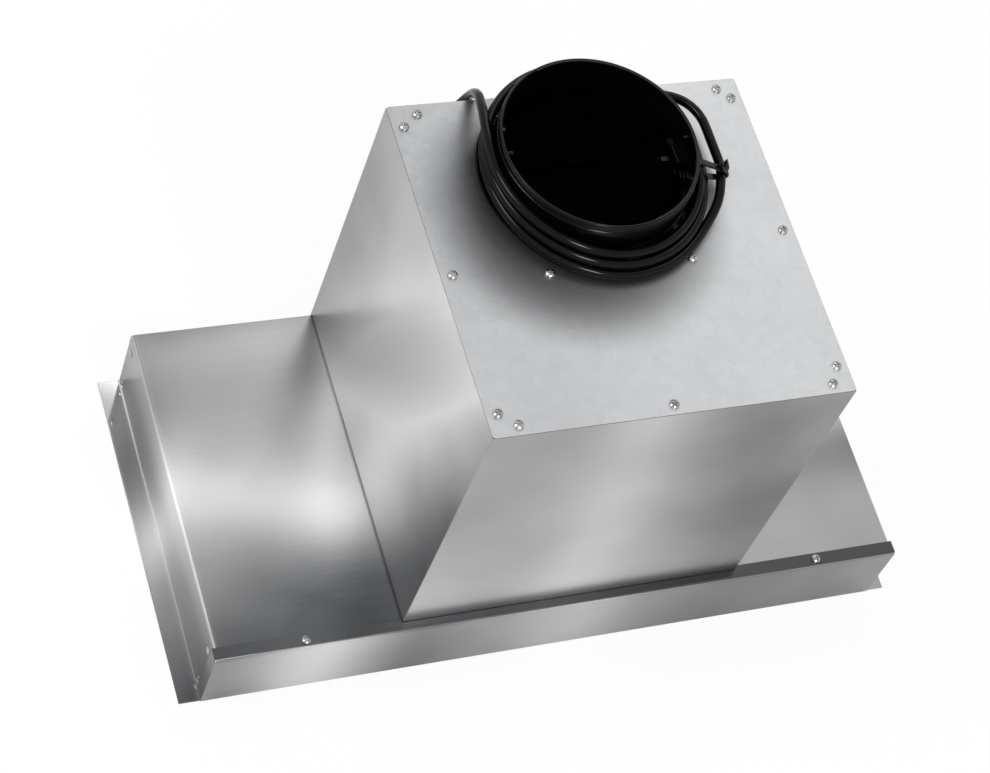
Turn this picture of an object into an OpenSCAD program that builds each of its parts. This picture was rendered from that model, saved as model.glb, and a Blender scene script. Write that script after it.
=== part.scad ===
// Built-in range hood: low canopy, tall blower box, round duct collar with backdraft flaps.
// +X is right, +Y is towards the wall, +Z is up. The origin is the middle of the underside.

/* [Canopy] */
// Width across the mounting flanges
flange_w = 600; // [560:5:900]
// Depth from front panel to rear panel
hood_d = 285; // [280:1:330]
// Width across the side walls
canopy_w = 565; // [540:1:860]
// Height of the front panel
canopy_h = 69; // [60:1:90]
// Thickness of the steel sheet
sheet_t = 1; // [0.8:0.1:1.2]
// Bend radius of the sheet at its middle
bend_r = 1.9; // [1.8:0.1:2.4]
// Gap between sheets that don't touch
seam_gap = 0.3; // [0.2:0.05:0.4]
// Depth of the front panel's top lip
lip_d = 11.2; // [9.5:0.1:14]
// Depth of folded tabs
tab_d = 12; // [9:0.5:13]
// Depth of the returns that carry the underside panel
return_d = 16; // [15:0.5:17]
// Height of the underside panel above the flange plane
panel_z = 8; // [7:0.5:12]

/* [Blower box] */
// Width of the blower box
box_w = 278; // [270:1:320]
// Sideways offset of the blower box
box_x = 2.5; // [0:0.5:4]
// Setback of the box behind the front panel
box_setback = 8.1; // [6:0.1:9]
// Height of the top plate's upper face
body_h = 343.6; // [335:0.1:380]
// Depth of the tabs that carry the top plate
top_tab_d = 17; // [15:0.5:18]

/* [Duct collar] */
// Outer diameter of the collar, which a 150 mm duct slides over
duct_dia = 148; // [144:1:150]
// Height of the collar above the top plate
duct_h = 42; // [41:1:60]
// Wall of the collar
duct_wall = 2; // [1.6:0.1:2.4]
// Sideways place of the collar's axis
duct_x = -4.5; // [-6:0.5:0]
// Distance of the collar's axis from the rear face
duct_back = 74; // [74:0.5:76]
// Opening angle of the backdraft flaps
flap_open = 80; // [60:1:80]

/* [Blower] */
// Width of the impeller
wheel_w = 112; // [90:2:112]
// Number of impeller blades
blade_count = 32; // [24:1:36]
// Diameter of the motor
motor_dia = 88; // [76:2:92]
// Height of the impeller's axis
wheel_z = 205; // [203:1:210]

/* [Filters, lamps and buttons] */
// Width of the panel beside a filter, which holds a lamp
lamp_bay = 79.5; // [76:0.5:84]
// Depth of the panel in front of the filters, which holds the buttons
control_bay = 55.5; // [54:0.5:60]
// Thickness of one filter
filter_t = 10; // [9:0.5:12]
// Spacing of the baffles
baffle_pitch = 24; // [22:1:28]
// Diameter of a lamp's trim ring
lamp_dia = 62; // [56:1:66]
// Diameter of a push button
button_dia = 12; // [9:0.5:13]
// Spacing of the push buttons
button_pitch = 22; // [19:0.5:24]
// Travel of a push button
button_travel = 3; // [2:0.5:3.5]

/* [Mains lead] */
// Diameter of the lead
cord_dia = 7.3; // [6.6:0.1:7.6]
// Distance between neighbouring turns of the wound lead
turn_pitch = 7.95; // [7.95:0.05:8.6]
// Distance of the inmost turn from the collar
turn_gap = 0.8; // [0.75:0.05:1.3]

/* [Hidden] */

// Faces of the canopy
over = 1;
front_y = -hood_d / 2;
back_y = hood_d / 2;
wing_top = canopy_h - sheet_t;
wall_in = canopy_w / 2 - sheet_t;
panel_w = canopy_w + 2 * (sheet_t + seam_gap);
bend_steps = 5;
round_fn = 96;
small_fn = 24;

// Faces of the blower box
box_l = box_x - box_w / 2;
box_r = box_x + box_w / 2;
box_front = front_y + box_setback;
box_d = back_y - box_front;
plate_under = body_h - sheet_t;
box_h = plate_under - wing_top;

// Screws and rivets
screw_head_r = 3.5;
screw_head_h = 2.6;
screw_shank_r = 1.9;
screw_hole_gap = 0.15;
screw_len = 7;
recess_w = 1.1;
recess_r = 2.2;
recess_d = 1.2;
rivet_head_r = 3.2;
rivet_head_h = 1.2;
rivet_shank_r = 1.6;
hole_r = screw_shank_r + screw_hole_gap;
rivet_hole_r = rivet_shank_r + screw_hole_gap;
// Places of the top plate's screws: insets from its edges, and shares of its width and depth
side_screw_inset = 8.7;
front_screw_inset = 7.7;
rear_screw_inset = 8.6;
left_screw_shares = [0.066, 0.473, 0.933];
right_screw_shares = [0.077, 0.502, 0.936];
front_screw_shares = [-0.425, -0.007, 0.441];
rear_screw_shares = [-0.423, 0.436];
top_screws = concat(
    [for (k = left_screw_shares) [box_l + side_screw_inset, box_front + k * box_d]],
    [for (k = right_screw_shares) [box_r - side_screw_inset, box_front + k * box_d]],
    [for (k = front_screw_shares) [box_x + k * box_w, box_front + front_screw_inset]],
    [for (k = rear_screw_shares) [box_x + k * box_w, back_y - rear_screw_inset]]);
lip_screw_x = 213;
lip_screw_back = 5.8;
rivet_rear = 8.2;
rivet_front = 16.8;
inner_tab_d = 22;
rivet_low = 7;
rivet_share = 0.775;
rivet_high = canopy_h * rivet_share;

// Duct collar
duct_y = back_y - duct_back;
duct_r = duct_dia / 2;
duct_in = duct_r - duct_wall;
grip_h = 6.5;
duct_step = 0.6;
collar_flange_w = 8;
collar_flange_r = duct_r + collar_flange_w;
collar_flange_t = 2.5;
spigot_gap = 0.5;
spigot_r = duct_in - spigot_gap;
spigot_share = 0.8;
spigot_h = sheet_t * spigot_share;
spigot_wall = 2;
duct_hole_gap = 0.4;
duct_hole_r = spigot_r + duct_hole_gap;
rim_h = 5;
rim_step = 0.8;
rim_from = -74;
rim_sweep = 188;
flap_rise = 12;
flap_z = body_h + flap_rise;
flap_t = 1.6;
flap_gap = 1;
flap_axis_y = 5;
flap_barrel_r = 2.6;
flap_pin_r = 1.6;
flap_pin_gap = 0.06;
flap_pin_len = 3.5;
lug_len = 6;
lug_w = 17;
lug_drop = 5;
lug_rise = 5;
ledge_w = 2.5;
ledge_t = 1.6;
peg_r = 1.5;
peg_len = 6;
peg_down = 5;
stop_peg_len = 3;
stop_peg_angles = [163, -31];
collar_rivet_angles = [45, 135, 225, 315];
collar_rivet_r = (duct_r + collar_flange_r) / 2;

// Blower scroll: a spiral whose radius grows from the tongue to the outlet's rear wall
scroll_gap = 8;
scroll_w = wheel_w + 2 * scroll_gap;
scroll_t = 1;
outlet_half = 66;
wheel_room = 120.9;
wheel_dia = box_d - wheel_room;
wheel_y = duct_y - wheel_dia / 2;
wheel_r = wheel_dia / 2;
tongue_gap = 8;
tongue_r = wheel_r + tongue_gap;
tongue_angle = -8;
outlet_angle = 270;
scroll_steps = 40;
outlet_rear = duct_y + outlet_half - wheel_y;
flange_t = 1.2;
outlet_top = plate_under - flange_t;
flange_side = 14;
flange_front = 22;
flange_rear = 4;
inlet_step = 15;
inlet_r = wheel_r - inlet_step;
inlet_ring_t = 1.6;
inlet_ring_len = 6;
blade_deep = 12;
blade_in = wheel_r - blade_deep;
blade_share = 0.96;
blade_t = 0.8;
blade_tilt = 28;
end_ring_w = 7;
end_ring_t = 2;
wheel_disc_t = 2;
hub_r = 11;
hub_len = 24;
shaft_r = 4;
shaft_gap = 0.05;
motor_r = motor_dia / 2;
motor_out = 34;
motor_in = 46;
motor_step = 8;
motor_end_share = 0.8;
motor_edge_share = 0.94;
nose_gap = 3;
shaft_end_gap = 0.5;
motor_nose_r = 16;
bracket_t = 2;
bracket_w = 14;
bracket_ring = 4;
bracket_reach = 10;
bracket_angles = [30, 150, 270];
grommet_r = 6;
grommet_h = 4;
capacitor_r = 15;
capacitor_h = 60;
capacitor_back = 54.5;
capacitor_y = back_y - capacitor_back;
capacitor_gap = 0.05;
capacitor_z = 150;
clamp_t = 1.5;
clamp_w = 14;
clamp_foot = 12;

// Terminal box and gland
terminal_d = 40;
terminal_h = 60;
terminal_t = 1.5;
terminal_drop = 50;
terminal_in = 6;
terminal_gap = 5;
gland_in = 13.5;
gland_drop = 92;
terminal_x = box_l + terminal_in;
terminal_w = duct_x - scroll_w / 2 - scroll_t - terminal_gap - terminal_x;
gland_x = terminal_x + terminal_w - gland_in;
terminal_z = plate_under - terminal_drop - terminal_h;
block_share = 0.64;
block_w = block_share * terminal_w;
block_d = 16;
block_h = 14;
block_screw_r = 3;
block_screw_h = 1.5;
block_ways = 3;
gland_z = body_h - gland_drop;
gland_w = 22;
gland_h = 18;
gland_d = 3;
gland_neck_r = 7.5;
gland_neck_gap = 0.2;
sleeve_base_r = 7;
sleeve_tip_r = 5;
cord_back = 7.5;

// Underside panel, filters, lamps and buttons
tray_gap = bend_r - sheet_t / 2 + seam_gap;
tray_side_gap = 2;
cup_gap = 0.6;
filter_gap = 1.5;
filter_back = 17.5;
filter_spacing = 10;
filter_w = wall_in - lamp_bay - filter_spacing / 2;
filter_d = hood_d - filter_back - control_bay;
filter_y = back_y - filter_back - filter_d / 2;
filter_pitch = filter_w + filter_spacing;
frame_t = 1;
frame_lip = 11;
frame_front_lip = 26;
latch_gap = 0.3;
latch_w = 30;
latch_d = 13;
latch_t = 1.2;
latch_tongue_w = 16;
latch_reach = 3.2;
latch_travel = 5;
latch_pull_w = 16;
latch_pull_h = 5;
latch_pull_back = 14;
latch_slot_gap = 0.4;
tongue_w = 20;
tongue_x = 62;
tongue_reach = 5;
hook_t = 1;
baffle_t = 0.8;
baffle_w_share = 0.68;
baffle_h_share = 0.6;
lamp_x = (wall_in + filter_pitch / 2 + filter_w / 2) / 2;
lamp_back = 80.5;
lamp_y = front_y + lamp_back;
lamp_r = lamp_dia / 2;
lamp_step = 4.5;
lamp_ring_t = 1.5;
lamp_sleeve_r = lamp_r - lamp_step;
lamp_sleeve_t = 1.6;
lamp_sleeve_h = 6;
lamp_lip = 2.2;
lens_gap = 0.2;
lens_t = 2;
can_h = 24;
can_t = 1.6;
can_fin_t = 1.5;
can_fin_h = 8;
can_fins = 7;
button_back = 28;
button_y = front_y + button_back;
button_r = button_dia / 2;
button_count = 5;
button_proud = 3;
button_gap = 0.3;
button_rim = 1.2;
button_rim_t = 1.5;
button_stem = 5;
button_dish_r = 24;
button_dish_d = 0.5;
plate_margin = 12;
plate_w = button_pitch * button_count + plate_margin;
plate_d = 22;
plate_t = 1.2;
block_wall = 3;
switch_h = 20;
switch_d = 24;
pocket_gap = 1.5;
pocket_h = button_stem + button_rim_t + button_travel + pocket_gap;
under_screw_edge = 20.5;
under_screw_x = canopy_w / 2 - under_screw_edge;
under_screw_in = 10;
under_screw_len = 8;
cup_r = screw_head_r + cup_gap + sheet_t;
cup_h = screw_head_h + seam_gap + sheet_t;

// Tie and plug
tie_w = 5;
tie_t = 1.4;
tie_gap = 0.8;
tie_head = 7;
tie_seat_share = 0.6;
tie_tail_share = 0.8;
tie_head_w = 6;
tie_tail = 8;
tie_angle = 350;
relief_len = 22;
plug_w = 24;
plug_h = 19;
plug_len = 34;
plug_round = 5;
plug_waist = 1.6;
blade_len = 17;
blade_w = 6.3;
blade_thick = 1.5;
blade_spread = 12.7;
earth_r = 2.4;
earth_len = 19;
earth_drop = 6.5;

// Wound lead: each turn stands above and outside the next, and the pile fans out flat
// towards the front right, where it lies on the top plate
cord_r = cord_dia / 2;
cord_sides = 6;
tail_sides = 8;
rings_per_turn = 24;
start_angle = 172;
whole_turns = 2;
end_lag = 8;
end_angle = 360 + 360 * whole_turns - end_lag;
turn_count = (end_angle - start_angle) / 360;
fan_angle = 300;
fan_tilt = 48;
fan_power = 2;
coil_lift = 6;
in_r = duct_r + duct_step + cord_r + turn_gap;
out_r = 101;
leave_angle = 310 + 360 * whole_turns;
rest_gap = 0.35;
// Height of the outer strand where the tie holds it
bound_z = 12.35;
coil_rest = cord_r + rest_gap;

function unit(v) = v / norm(v);
function mix(a, b, k) = a + (b - a) * k;
function limit(v, lo, hi) = max(lo, min(hi, v));
function ease(k) = k * k * (3 - 2 * k);
function turned(a) = (a - start_angle) / 360;
function fan(a) = pow((1 + cos(a - fan_angle)) / 2, fan_power);
function leave(a) = ease(limit((a - leave_angle) / (end_angle - leave_angle), 0, 1));
function pile_r(a) = in_r + turn_pitch * turned(a) * sin(fan_tilt * fan(a));
function pile_z(a) = coil_rest + coil_lift * (1 - fan(a))
    + turn_pitch * (turn_count - turned(a)) * cos(fan_tilt * fan(a));
function coil_r(a) = mix(pile_r(a), out_r, leave(a));
function coil_z(a) = mix(pile_z(a), bound_z, leave(a));
function coil_at(a) =
    [duct_x + coil_r(a) * cos(a), duct_y + coil_r(a) * sin(a), body_h + coil_z(a)];
probe_angle = 2;
coil_start = coil_at(start_angle);
start_dir = unit(coil_at(start_angle + probe_angle) - coil_start);
end_dir = [0, 0, -1];
plug_back = plug_h / 2 + rest_gap;
// Last stretch of the lead, as [right of the collar's axis, behind the hood, above the top
// plate]: it leaves the tie, passes behind the collar and hangs down to the plug
end_points = [[100.7, -80.6, 12.4], [100.8, -73.2, 12.4], [100.8, -65.7, 12.4],
    [100.8, -58.3, 12.4], [100.8, -50.8, 12.4], [100.3, -43.4, 12.4], [98.3, -36.2, 12.4],
    [94.8, -29.7, 12.3], [90, -24, 11.7], [84, -19.6, 10.8], [77.3, -16.2, 9.7],
    [70.6, -13, 8.6], [63.9, -9.8, 7.6], [57, -6.9, 7.1], [50, -4.3, 7], [42.9, -2, 7],
    [35.7, -0.1, 7], [28.3, 2.6, 6.1], [21.3, 4.8, 3.6], [15, 6.7, -0.6], [9.7, 8.1, -6.1],
    [5.8, 9.1, -12.6], [3.5, 9.7, -19.9], [2.7, plug_back, -27], [2.7, plug_back, -34]];
stub = cord_dia;
coil_steps = ceil(turn_count * rings_per_turn);
coil_path = concat([coil_start - stub * start_dir],
    [for (i = [0 : coil_steps]) coil_at(mix(start_angle, end_angle, i / coil_steps))],
    [for (p = end_points) [duct_x + p[0], back_y + p[1], body_h + p[2]]]);
plug_at = coil_path[len(coil_path) - 1];

// Free stretch of the lead from the strain relief over the rear edge to the first turn,
// as [right of the collar's axis, behind the hood, above the top plate]
tail_points = [[-83.5, 7.5, -58], [-83.2, 7.6, -48.4], [-80, 8.1, -39], [-75.1, 8.7, -29.7],
    [-70.7, 8.6, -20.2], [-67.4, 7.8, -11.1], [-65.7, 5.6, -2.4], [-65.8, 1.6, 6],
    [-67, -4, 13.2], [-68.7, -11.1, 19.2], [-70.8, -19.2, 23.4], [-72.8, -27.9, 26.6],
    [-74.6, -37.1, 28.5], [-76.3, -46.4, 29.4]];
tail_path = concat([for (p = tail_points) [duct_x + p[0], back_y + p[1], body_h + p[2]]],
    [coil_start - stub * start_dir]);

// Least distance between turns of the wound lead, measured between its rings
function seg_gap(i, j) = norm(coil_path[i] - coil_path[j]);
pair_gaps = [for (i = [0 : len(coil_path) - 1], j = [i + 8 : 1 : len(coil_path) - 1])
    seg_gap(i, j)];
echo(coil_least_gap = min(pair_gaps) - cord_dia);
function path_len(p) = norm_sum(p, 0);
function norm_sum(p, i) = i >= len(p) - 1 ? 0 : norm(p[i + 1] - p[i]) + norm_sum(p, i + 1);
echo(coil_len = path_len(coil_path), tail_len = path_len(tail_path));

// A strip of sheet of thickness t along an open path, with its corners rounded to radius r
function corner(a, b, c, r, n) =
    let (u = unit(a - b), w = unit(c - b))
    let (half = acos(limit(u * w, -1, 1)) / 2)
    let (m = b + unit(u + w) * r / sin(half))
    let (p = b + u * r / tan(half) - m, side = sign(u[0] * w[1] - u[1] * w[0]))
    [for (i = [0 : n]) let (s = -side * (180 - 2 * half) * i / n)
        m + [p[0] * cos(s) - p[1] * sin(s), p[0] * sin(s) + p[1] * cos(s)]];
function rounded(p, r, n) = concat([p[0]],
    [for (i = [1 : len(p) - 2]) each corner(p[i - 1], p[i], p[i + 1], r, n)], [p[len(p) - 1]]);
function seg_normal(a, b) = let (d = unit(b - a)) [-d[1], d[0]];
function miter(p, i) =
    let (n1 = seg_normal(p[max(i - 1, 0)], p[max(i, 1)]))
    let (n2 = seg_normal(p[min(i, len(p) - 2)], p[min(i + 1, len(p) - 1)]))
    (n1 + n2) / (1 + n1 * n2);
function strip(p, t) = concat([for (i = [0 : len(p) - 1]) p[i] + miter(p, i) * t / 2],
    [for (i = [len(p) - 1 : -1 : 0]) p[i] - miter(p, i) * t / 2]);

module bent_along_y(path, y0, y1) {
    translate([0, y1, 0]) rotate([90, 0, 0]) linear_extrude(y1 - y0)
        polygon(strip(rounded(path, bend_r, bend_steps), sheet_t));
}

module bent_along_x(path, x0, x1) {
    translate([x0, 0, 0]) rotate([90, 0, 90]) linear_extrude(x1 - x0)
        polygon(strip(rounded(path, bend_r, bend_steps), sheet_t));
}

module block(lo, hi) {
    translate(lo) cube(hi - lo);
}

// A tube swept along a path, its rings square to the path, as one closed polyhedron
function path_dir(p, i) = unit(p[min(i + 1, len(p) - 1)] - p[max(i - 1, 0)]);
function end_fix(p, i) = i == 0 ? unit(p[1] - p[0])
    : i == len(p) - 1 ? unit(p[i] - p[i - 1]) : path_dir(p, i);
function ring(c, d, r, n) =
    let (s = unit(cross(d, abs(d[2]) > 0.9 ? [0, 1, 0] : [0, 0, 1])), t = cross(s, d))
    [for (k = [0 : n - 1]) c + r * (s * cos(360 * k / n) + t * sin(360 * k / n))];

module tube(p, r, n, dirs) {
    m = len(p);
    points = [for (i = [0 : m - 1]) each ring(p[i], dirs[i], r, n)];
    sides = [for (i = [0 : m - 2], k = [0 : n - 1]) let (a = i * n + k, b = i * n + (k + 1) % n)
        each [[a, b, b + n], [a, b + n, a + n]]];
    low_cap = [for (k = [1 : n - 2]) [0, k + 1, k]];
    high_cap = [for (k = [1 : n - 2]) [(m - 1) * n, (m - 1) * n + k, (m - 1) * n + k + 1]];
    polyhedron(points = points, faces = concat(sides, low_cap, high_cap), convexity = 10);
}

module pan_screw(p, len, hole_z) {
    translate([p[0], p[1], hole_z]) difference() {
        union() {
            translate([0, 0, -len]) cylinder(h = len, r = screw_shank_r, $fn = small_fn);
            rotate_extrude($fn = small_fn) intersection() {
                translate([0, screw_head_h - screw_head_r * 1.6]) circle(r = screw_head_r * 1.6,
                    $fn = round_fn);
                square([screw_head_r, screw_head_h]);
            }
        }
        for (a = [0, 90])
            rotate([0, 0, a]) translate([-recess_r, -recess_w / 2, screw_head_h - recess_d])
                cube([2 * recess_r, recess_w, recess_d + over]);
    }
}

module holes_at(places, r, z0, z1) {
    for (p = places)
        translate([p[0], p[1], z0]) cylinder(h = z1 - z0, r = r, $fn = small_fn);
}

// Sheet metal of the canopy
module wing_shell(s) {
    inner = s > 0 ? box_r - tab_d : -(box_l + tab_d);
    path = [[flange_w / 2, sheet_t / 2], [canopy_w / 2 - sheet_t / 2, sheet_t / 2],
        [canopy_w / 2 - sheet_t / 2, wing_top - sheet_t / 2], [inner, wing_top - sheet_t / 2]];
    difference() {
        mirror([s > 0 ? 0 : 1, 0, 0])
            bent_along_y(path, front_y + sheet_t + seam_gap, back_y - sheet_t - seam_gap);
        // The top starts behind the front panel's bend
        block([-flange_w, front_y - over, wing_top - bend_r],
            [flange_w, front_y + sheet_t + tray_gap, wing_top + over]);
        holes_at([[s * lip_screw_x, front_y + lip_screw_back]], hole_r, wing_top - 2 * sheet_t,
            wing_top + over);
        wall_rivet_holes(s);
    }
}

module wall_rivet_holes(s) {
    for (y = [front_y + rivet_front, back_y - rivet_rear], z = [rivet_low, rivet_high])
        translate([s * (wall_in - 2 * sheet_t - over), y, z]) rotate([0, s * 90, 0])
            cylinder(h = 5 * sheet_t + 2 * over, r = rivet_hole_r, $fn = small_fn);
}

module left_wing_shell() {
    color("gainsboro") wing_shell(-1);
}

module right_wing_shell() {
    color("gainsboro") wing_shell(1);
}

module front_panel() {
    path = [[front_y + return_d, sheet_t / 2], [front_y + sheet_t / 2, sheet_t / 2],
        [front_y + sheet_t / 2, canopy_h - sheet_t / 2], [front_y + lip_d, canopy_h - sheet_t / 2]];
    inner = wall_in - seam_gap;
    color("silver") difference() {
        union() {
            bent_along_x(path, -panel_w / 2, panel_w / 2);
            screw_cups(front_y + under_screw_in);
            for (s = [-1, 1])
                block([s > 0 ? inner - sheet_t : -inner, front_y + sheet_t / 2, sheet_t / 2],
                    [s > 0 ? inner : sheet_t - inner, front_y + inner_tab_d,
                    wing_top - sheet_t - bend_r]);
            for (s = [-1, 1])
                block([s > 0 ? panel_w / 2 - sheet_t : -panel_w / 2, front_y + sheet_t / 2,
                    sheet_t + seam_gap], [s > 0 ? panel_w / 2 : sheet_t - panel_w / 2,
                    front_y + lip_d, canopy_h - sheet_t / 2]);
        }
        // The bottom return stays between the side walls
        for (s = [-1, 1])
            translate([s * (inner + flange_w / 4), front_y + sheet_t + return_d, 0])
                cube([flange_w / 2, 2 * return_d, 2 * (sheet_t + seam_gap)], center = true);
        cup_holes(front_y + under_screw_in);
        // The lip is cut back along the front of the blower box
        block([box_l - seam_gap, box_front - seam_gap, wing_top - over],
            [box_r + seam_gap, box_front + lip_d, canopy_h + over]);
        holes_at([for (s = [-1, 1]) [s * lip_screw_x, front_y + lip_screw_back]], hole_r,
            wing_top - over, canopy_h + over);
        wall_rivet_holes(-1);
        wall_rivet_holes(1);
    }
}

// Raised screw seats in a bottom return
module screw_cups(y) {
    for (s = [-1, 0, 1])
        translate([s * under_screw_x, y, 0]) cylinder(h = cup_h, r = cup_r, $fn = round_fn);
}

module cup_holes(y) {
    for (s = [-1, 0, 1])
        translate([s * under_screw_x, y, -over]) {
            cylinder(h = cup_h - sheet_t + over, r = cup_r - sheet_t, $fn = round_fn);
            cylinder(h = cup_h + 2 * over, r = hole_r, $fn = small_fn);
        }
}

module rear_panel() {
    top = wing_top - sheet_t;
    path = [[back_y - return_d, sheet_t / 2], [back_y - sheet_t / 2, sheet_t / 2],
        [back_y - sheet_t / 2, top - sheet_t / 2], [back_y - tab_d, top - sheet_t / 2]];
    half = wall_in - seam_gap;
    color("silver") difference() {
        union() {
            bent_along_x(path, -half, half);
            screw_cups(back_y - under_screw_in);
            for (s = [-1, 1])
                block([s > 0 ? half - sheet_t : -half, back_y - tab_d, sheet_t / 2],
                    [s > 0 ? half : sheet_t - half, back_y - sheet_t / 2, top - sheet_t / 2]);
        }
        cup_holes(back_y - under_screw_in);
        // Corners cut clear of the bend between side wall and wing top
        for (s = [-1, 1])
            translate([s * (half + flange_w / 4 - bend_r), back_y, top])
                cube([flange_w / 2, 2 * hood_d / 4, 2 * bend_r], center = true);
        wall_rivet_holes(-1);
        wall_rivet_holes(1);
    }
}

module lip_screws() {
    color("gainsboro") for (s = [-1, 1])
        pan_screw([s * lip_screw_x, front_y + lip_screw_back], screw_len, canopy_h);
}

module rivet(len) {
    translate([0, 0, -len]) cylinder(h = len, r = rivet_shank_r, $fn = small_fn);
    rotate_extrude($fn = small_fn) intersection() {
        translate([0, rivet_head_h - rivet_head_r * 2]) circle(r = rivet_head_r * 2, $fn = round_fn);
        square([rivet_head_r, rivet_head_h]);
    }
}

module wall_rivets() {
    color("silver") for (s = [-1, 1], z = [rivet_low, rivet_high])
        for (y = [front_y + rivet_front, back_y - rivet_rear])
            translate([s * canopy_w / 2, y, z]) rotate([0, s * 90, 0])
                rivet(2 * sheet_t + seam_gap);
}

// Underside
module filter_hole(s) {
    translate([s * filter_pitch / 2, filter_y, panel_z])
        cube([filter_w + 2 * filter_gap, filter_d + 2 * filter_gap, 4 * sheet_t], center = true);
}

under_screws_at = [for (s = [-1, 0, 1], y = [front_y + under_screw_in, back_y - under_screw_in])
    [s * under_screw_x, y]];

module underside_panel() {
    half = wall_in - tray_side_gap;
    y0 = front_y + sheet_t + tray_gap;
    y1 = back_y - sheet_t - tray_gap;
    color("silver") difference() {
        block([-half, y0, sheet_t], [half, y1, panel_z + sheet_t]);
        difference() {
            block([sheet_t - half, y0 + sheet_t, sheet_t - over], [half - sheet_t, y1 - sheet_t, panel_z]);
            for (p = under_screws_at)
                translate([p[0], p[1], 0]) cylinder(h = panel_z, r = screw_head_r, $fn = small_fn);
        }
        for (s = [-1, 1]) {
            filter_hole(s);
            translate([s * lamp_x, lamp_y, panel_z - over])
                cylinder(h = sheet_t + 2 * over, r = lamp_sleeve_r + seam_gap, $fn = round_fn);
        }
        for (i = [0 : button_count - 1])
            translate([button_shift(i), button_y, panel_z - over])
                cylinder(h = sheet_t + 2 * over, r = button_r + button_gap, $fn = round_fn);
        for (p = under_screws_at)
            translate([p[0], p[1], 0]) cylinder(h = cup_h, r = cup_r + cup_gap, $fn = round_fn);
        holes_at(under_screws_at, hole_r, 0, panel_z + 2 * sheet_t);
    }
}

module underside_screws() {
    color("gainsboro") for (p = under_screws_at)
        translate([p[0], p[1], cup_h - sheet_t]) rotate([180, 0, 0])
            pan_screw([0, 0], under_screw_len, 0);
}

// Blower box
module box_front_panel() {
    color("silver") difference() {
        union() {
            block([box_l, box_front, wing_top], [box_r, box_front + sheet_t, plate_under]);
            block([box_l + 2 * sheet_t, box_front, plate_under - sheet_t],
                [box_r - 2 * sheet_t, box_front + tab_d, plate_under]);
            block([box_l + 2 * sheet_t, box_front, wing_top],
                [box_r - 2 * sheet_t, box_front + tab_d, wing_top + sheet_t]);
            block([box_l + sheet_t, box_front, wing_top],
                [box_l + 2 * sheet_t, box_front + tab_d, plate_under]);
            block([box_r - 2 * sheet_t, box_front, wing_top],
                [box_r - sheet_t, box_front + tab_d, plate_under]);
        }
        top_holes();
    }
}

module top_holes() {
    holes_at(top_screws, hole_r, plate_under - 3 * sheet_t, body_h + over);
}

module box_rear_panel() {
    color("silver") difference() {
        union() {
            block([box_l, back_y - sheet_t, wing_top - sheet_t], [box_r, back_y, plate_under]);
            block([box_l + 2 * sheet_t, back_y - tab_d, plate_under - sheet_t],
                [box_r - 2 * sheet_t, back_y, plate_under]);
            block([box_l + sheet_t, back_y - tab_d, wing_top],
                [box_l + 2 * sheet_t, back_y, plate_under]);
            block([box_r - 2 * sheet_t, back_y - tab_d, wing_top],
                [box_r - sheet_t, back_y, plate_under]);
        }
        top_holes();
        // Room for the outlet flange and its duct between the two corner tabs
        block([duct_x - scroll_w / 2 - scroll_t - flange_side - seam_gap, back_y - 2 * top_tab_d,
            plate_under - 2 * sheet_t], [duct_x + scroll_w / 2 + scroll_t + flange_side + seam_gap,
            back_y - sheet_t, plate_under + over]);
        translate([gland_x, back_y - sheet_t - over, gland_z]) rotate([-90, 0, 0])
            cylinder(h = sheet_t + 2 * over, r = gland_neck_r + gland_neck_gap, $fn = round_fn);
    }
}

module box_side(s) {
    x0 = s > 0 ? box_r - sheet_t : box_l;
    tab_x0 = s > 0 ? box_r - top_tab_d : box_l;
    low_x0 = s > 0 ? box_r - tab_d : box_l;
    y0 = box_front + sheet_t;
    y1 = back_y - sheet_t;
    inset = tab_d + seam_gap;
    difference() {
        union() {
            block([x0, y0, wing_top], [x0 + sheet_t, y1, plate_under]);
            block([tab_x0, box_front + inset, plate_under - sheet_t],
                [tab_x0 + top_tab_d, back_y - inset, plate_under]);
            block([low_x0, box_front + inset, wing_top],
                [low_x0 + tab_d, back_y - inset, wing_top + sheet_t]);
        }
        top_holes();
    }
}

module box_left_panel() {
    color("silver") box_side(-1);
}

module box_right_panel() {
    color("silver") box_side(1);
}

plate_corner = 2.5;

module top_plate() {
    color("lightgray") difference() {
        translate([0, 0, plate_under]) linear_extrude(sheet_t) union() {
            translate([box_l + plate_corner, box_front]) square([box_w - 2 * plate_corner, box_d]);
            translate([box_l, box_front + plate_corner]) square([box_w, box_d - 2 * plate_corner]);
            for (x = [box_l + plate_corner, box_r - plate_corner],
                y = [box_front + plate_corner, back_y - plate_corner])
                translate([x, y]) circle(r = plate_corner, $fn = small_fn);
        }
        translate([duct_x, duct_y, plate_under - over])
            cylinder(h = sheet_t + 2 * over, r = duct_hole_r, $fn = round_fn);
        top_holes();
        holes_at(blower_screws_at, hole_r, plate_under - over, body_h + over);
        holes_at(collar_rivets_at, rivet_hole_r, plate_under - over, body_h + over);
    }
}

module top_plate_screws() {
    color("gainsboro") for (p = top_screws) pan_screw(p, screw_len, body_h);
}

module blower_screws() {
    color("gainsboro") for (p = blower_screws_at) pan_screw(p, screw_len, body_h);
}

// Duct collar and backdraft flaps
collar_rivets_at = [for (a = collar_rivet_angles)
    [duct_x + collar_rivet_r * cos(a), duct_y + collar_rivet_r * sin(a)]];

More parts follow.
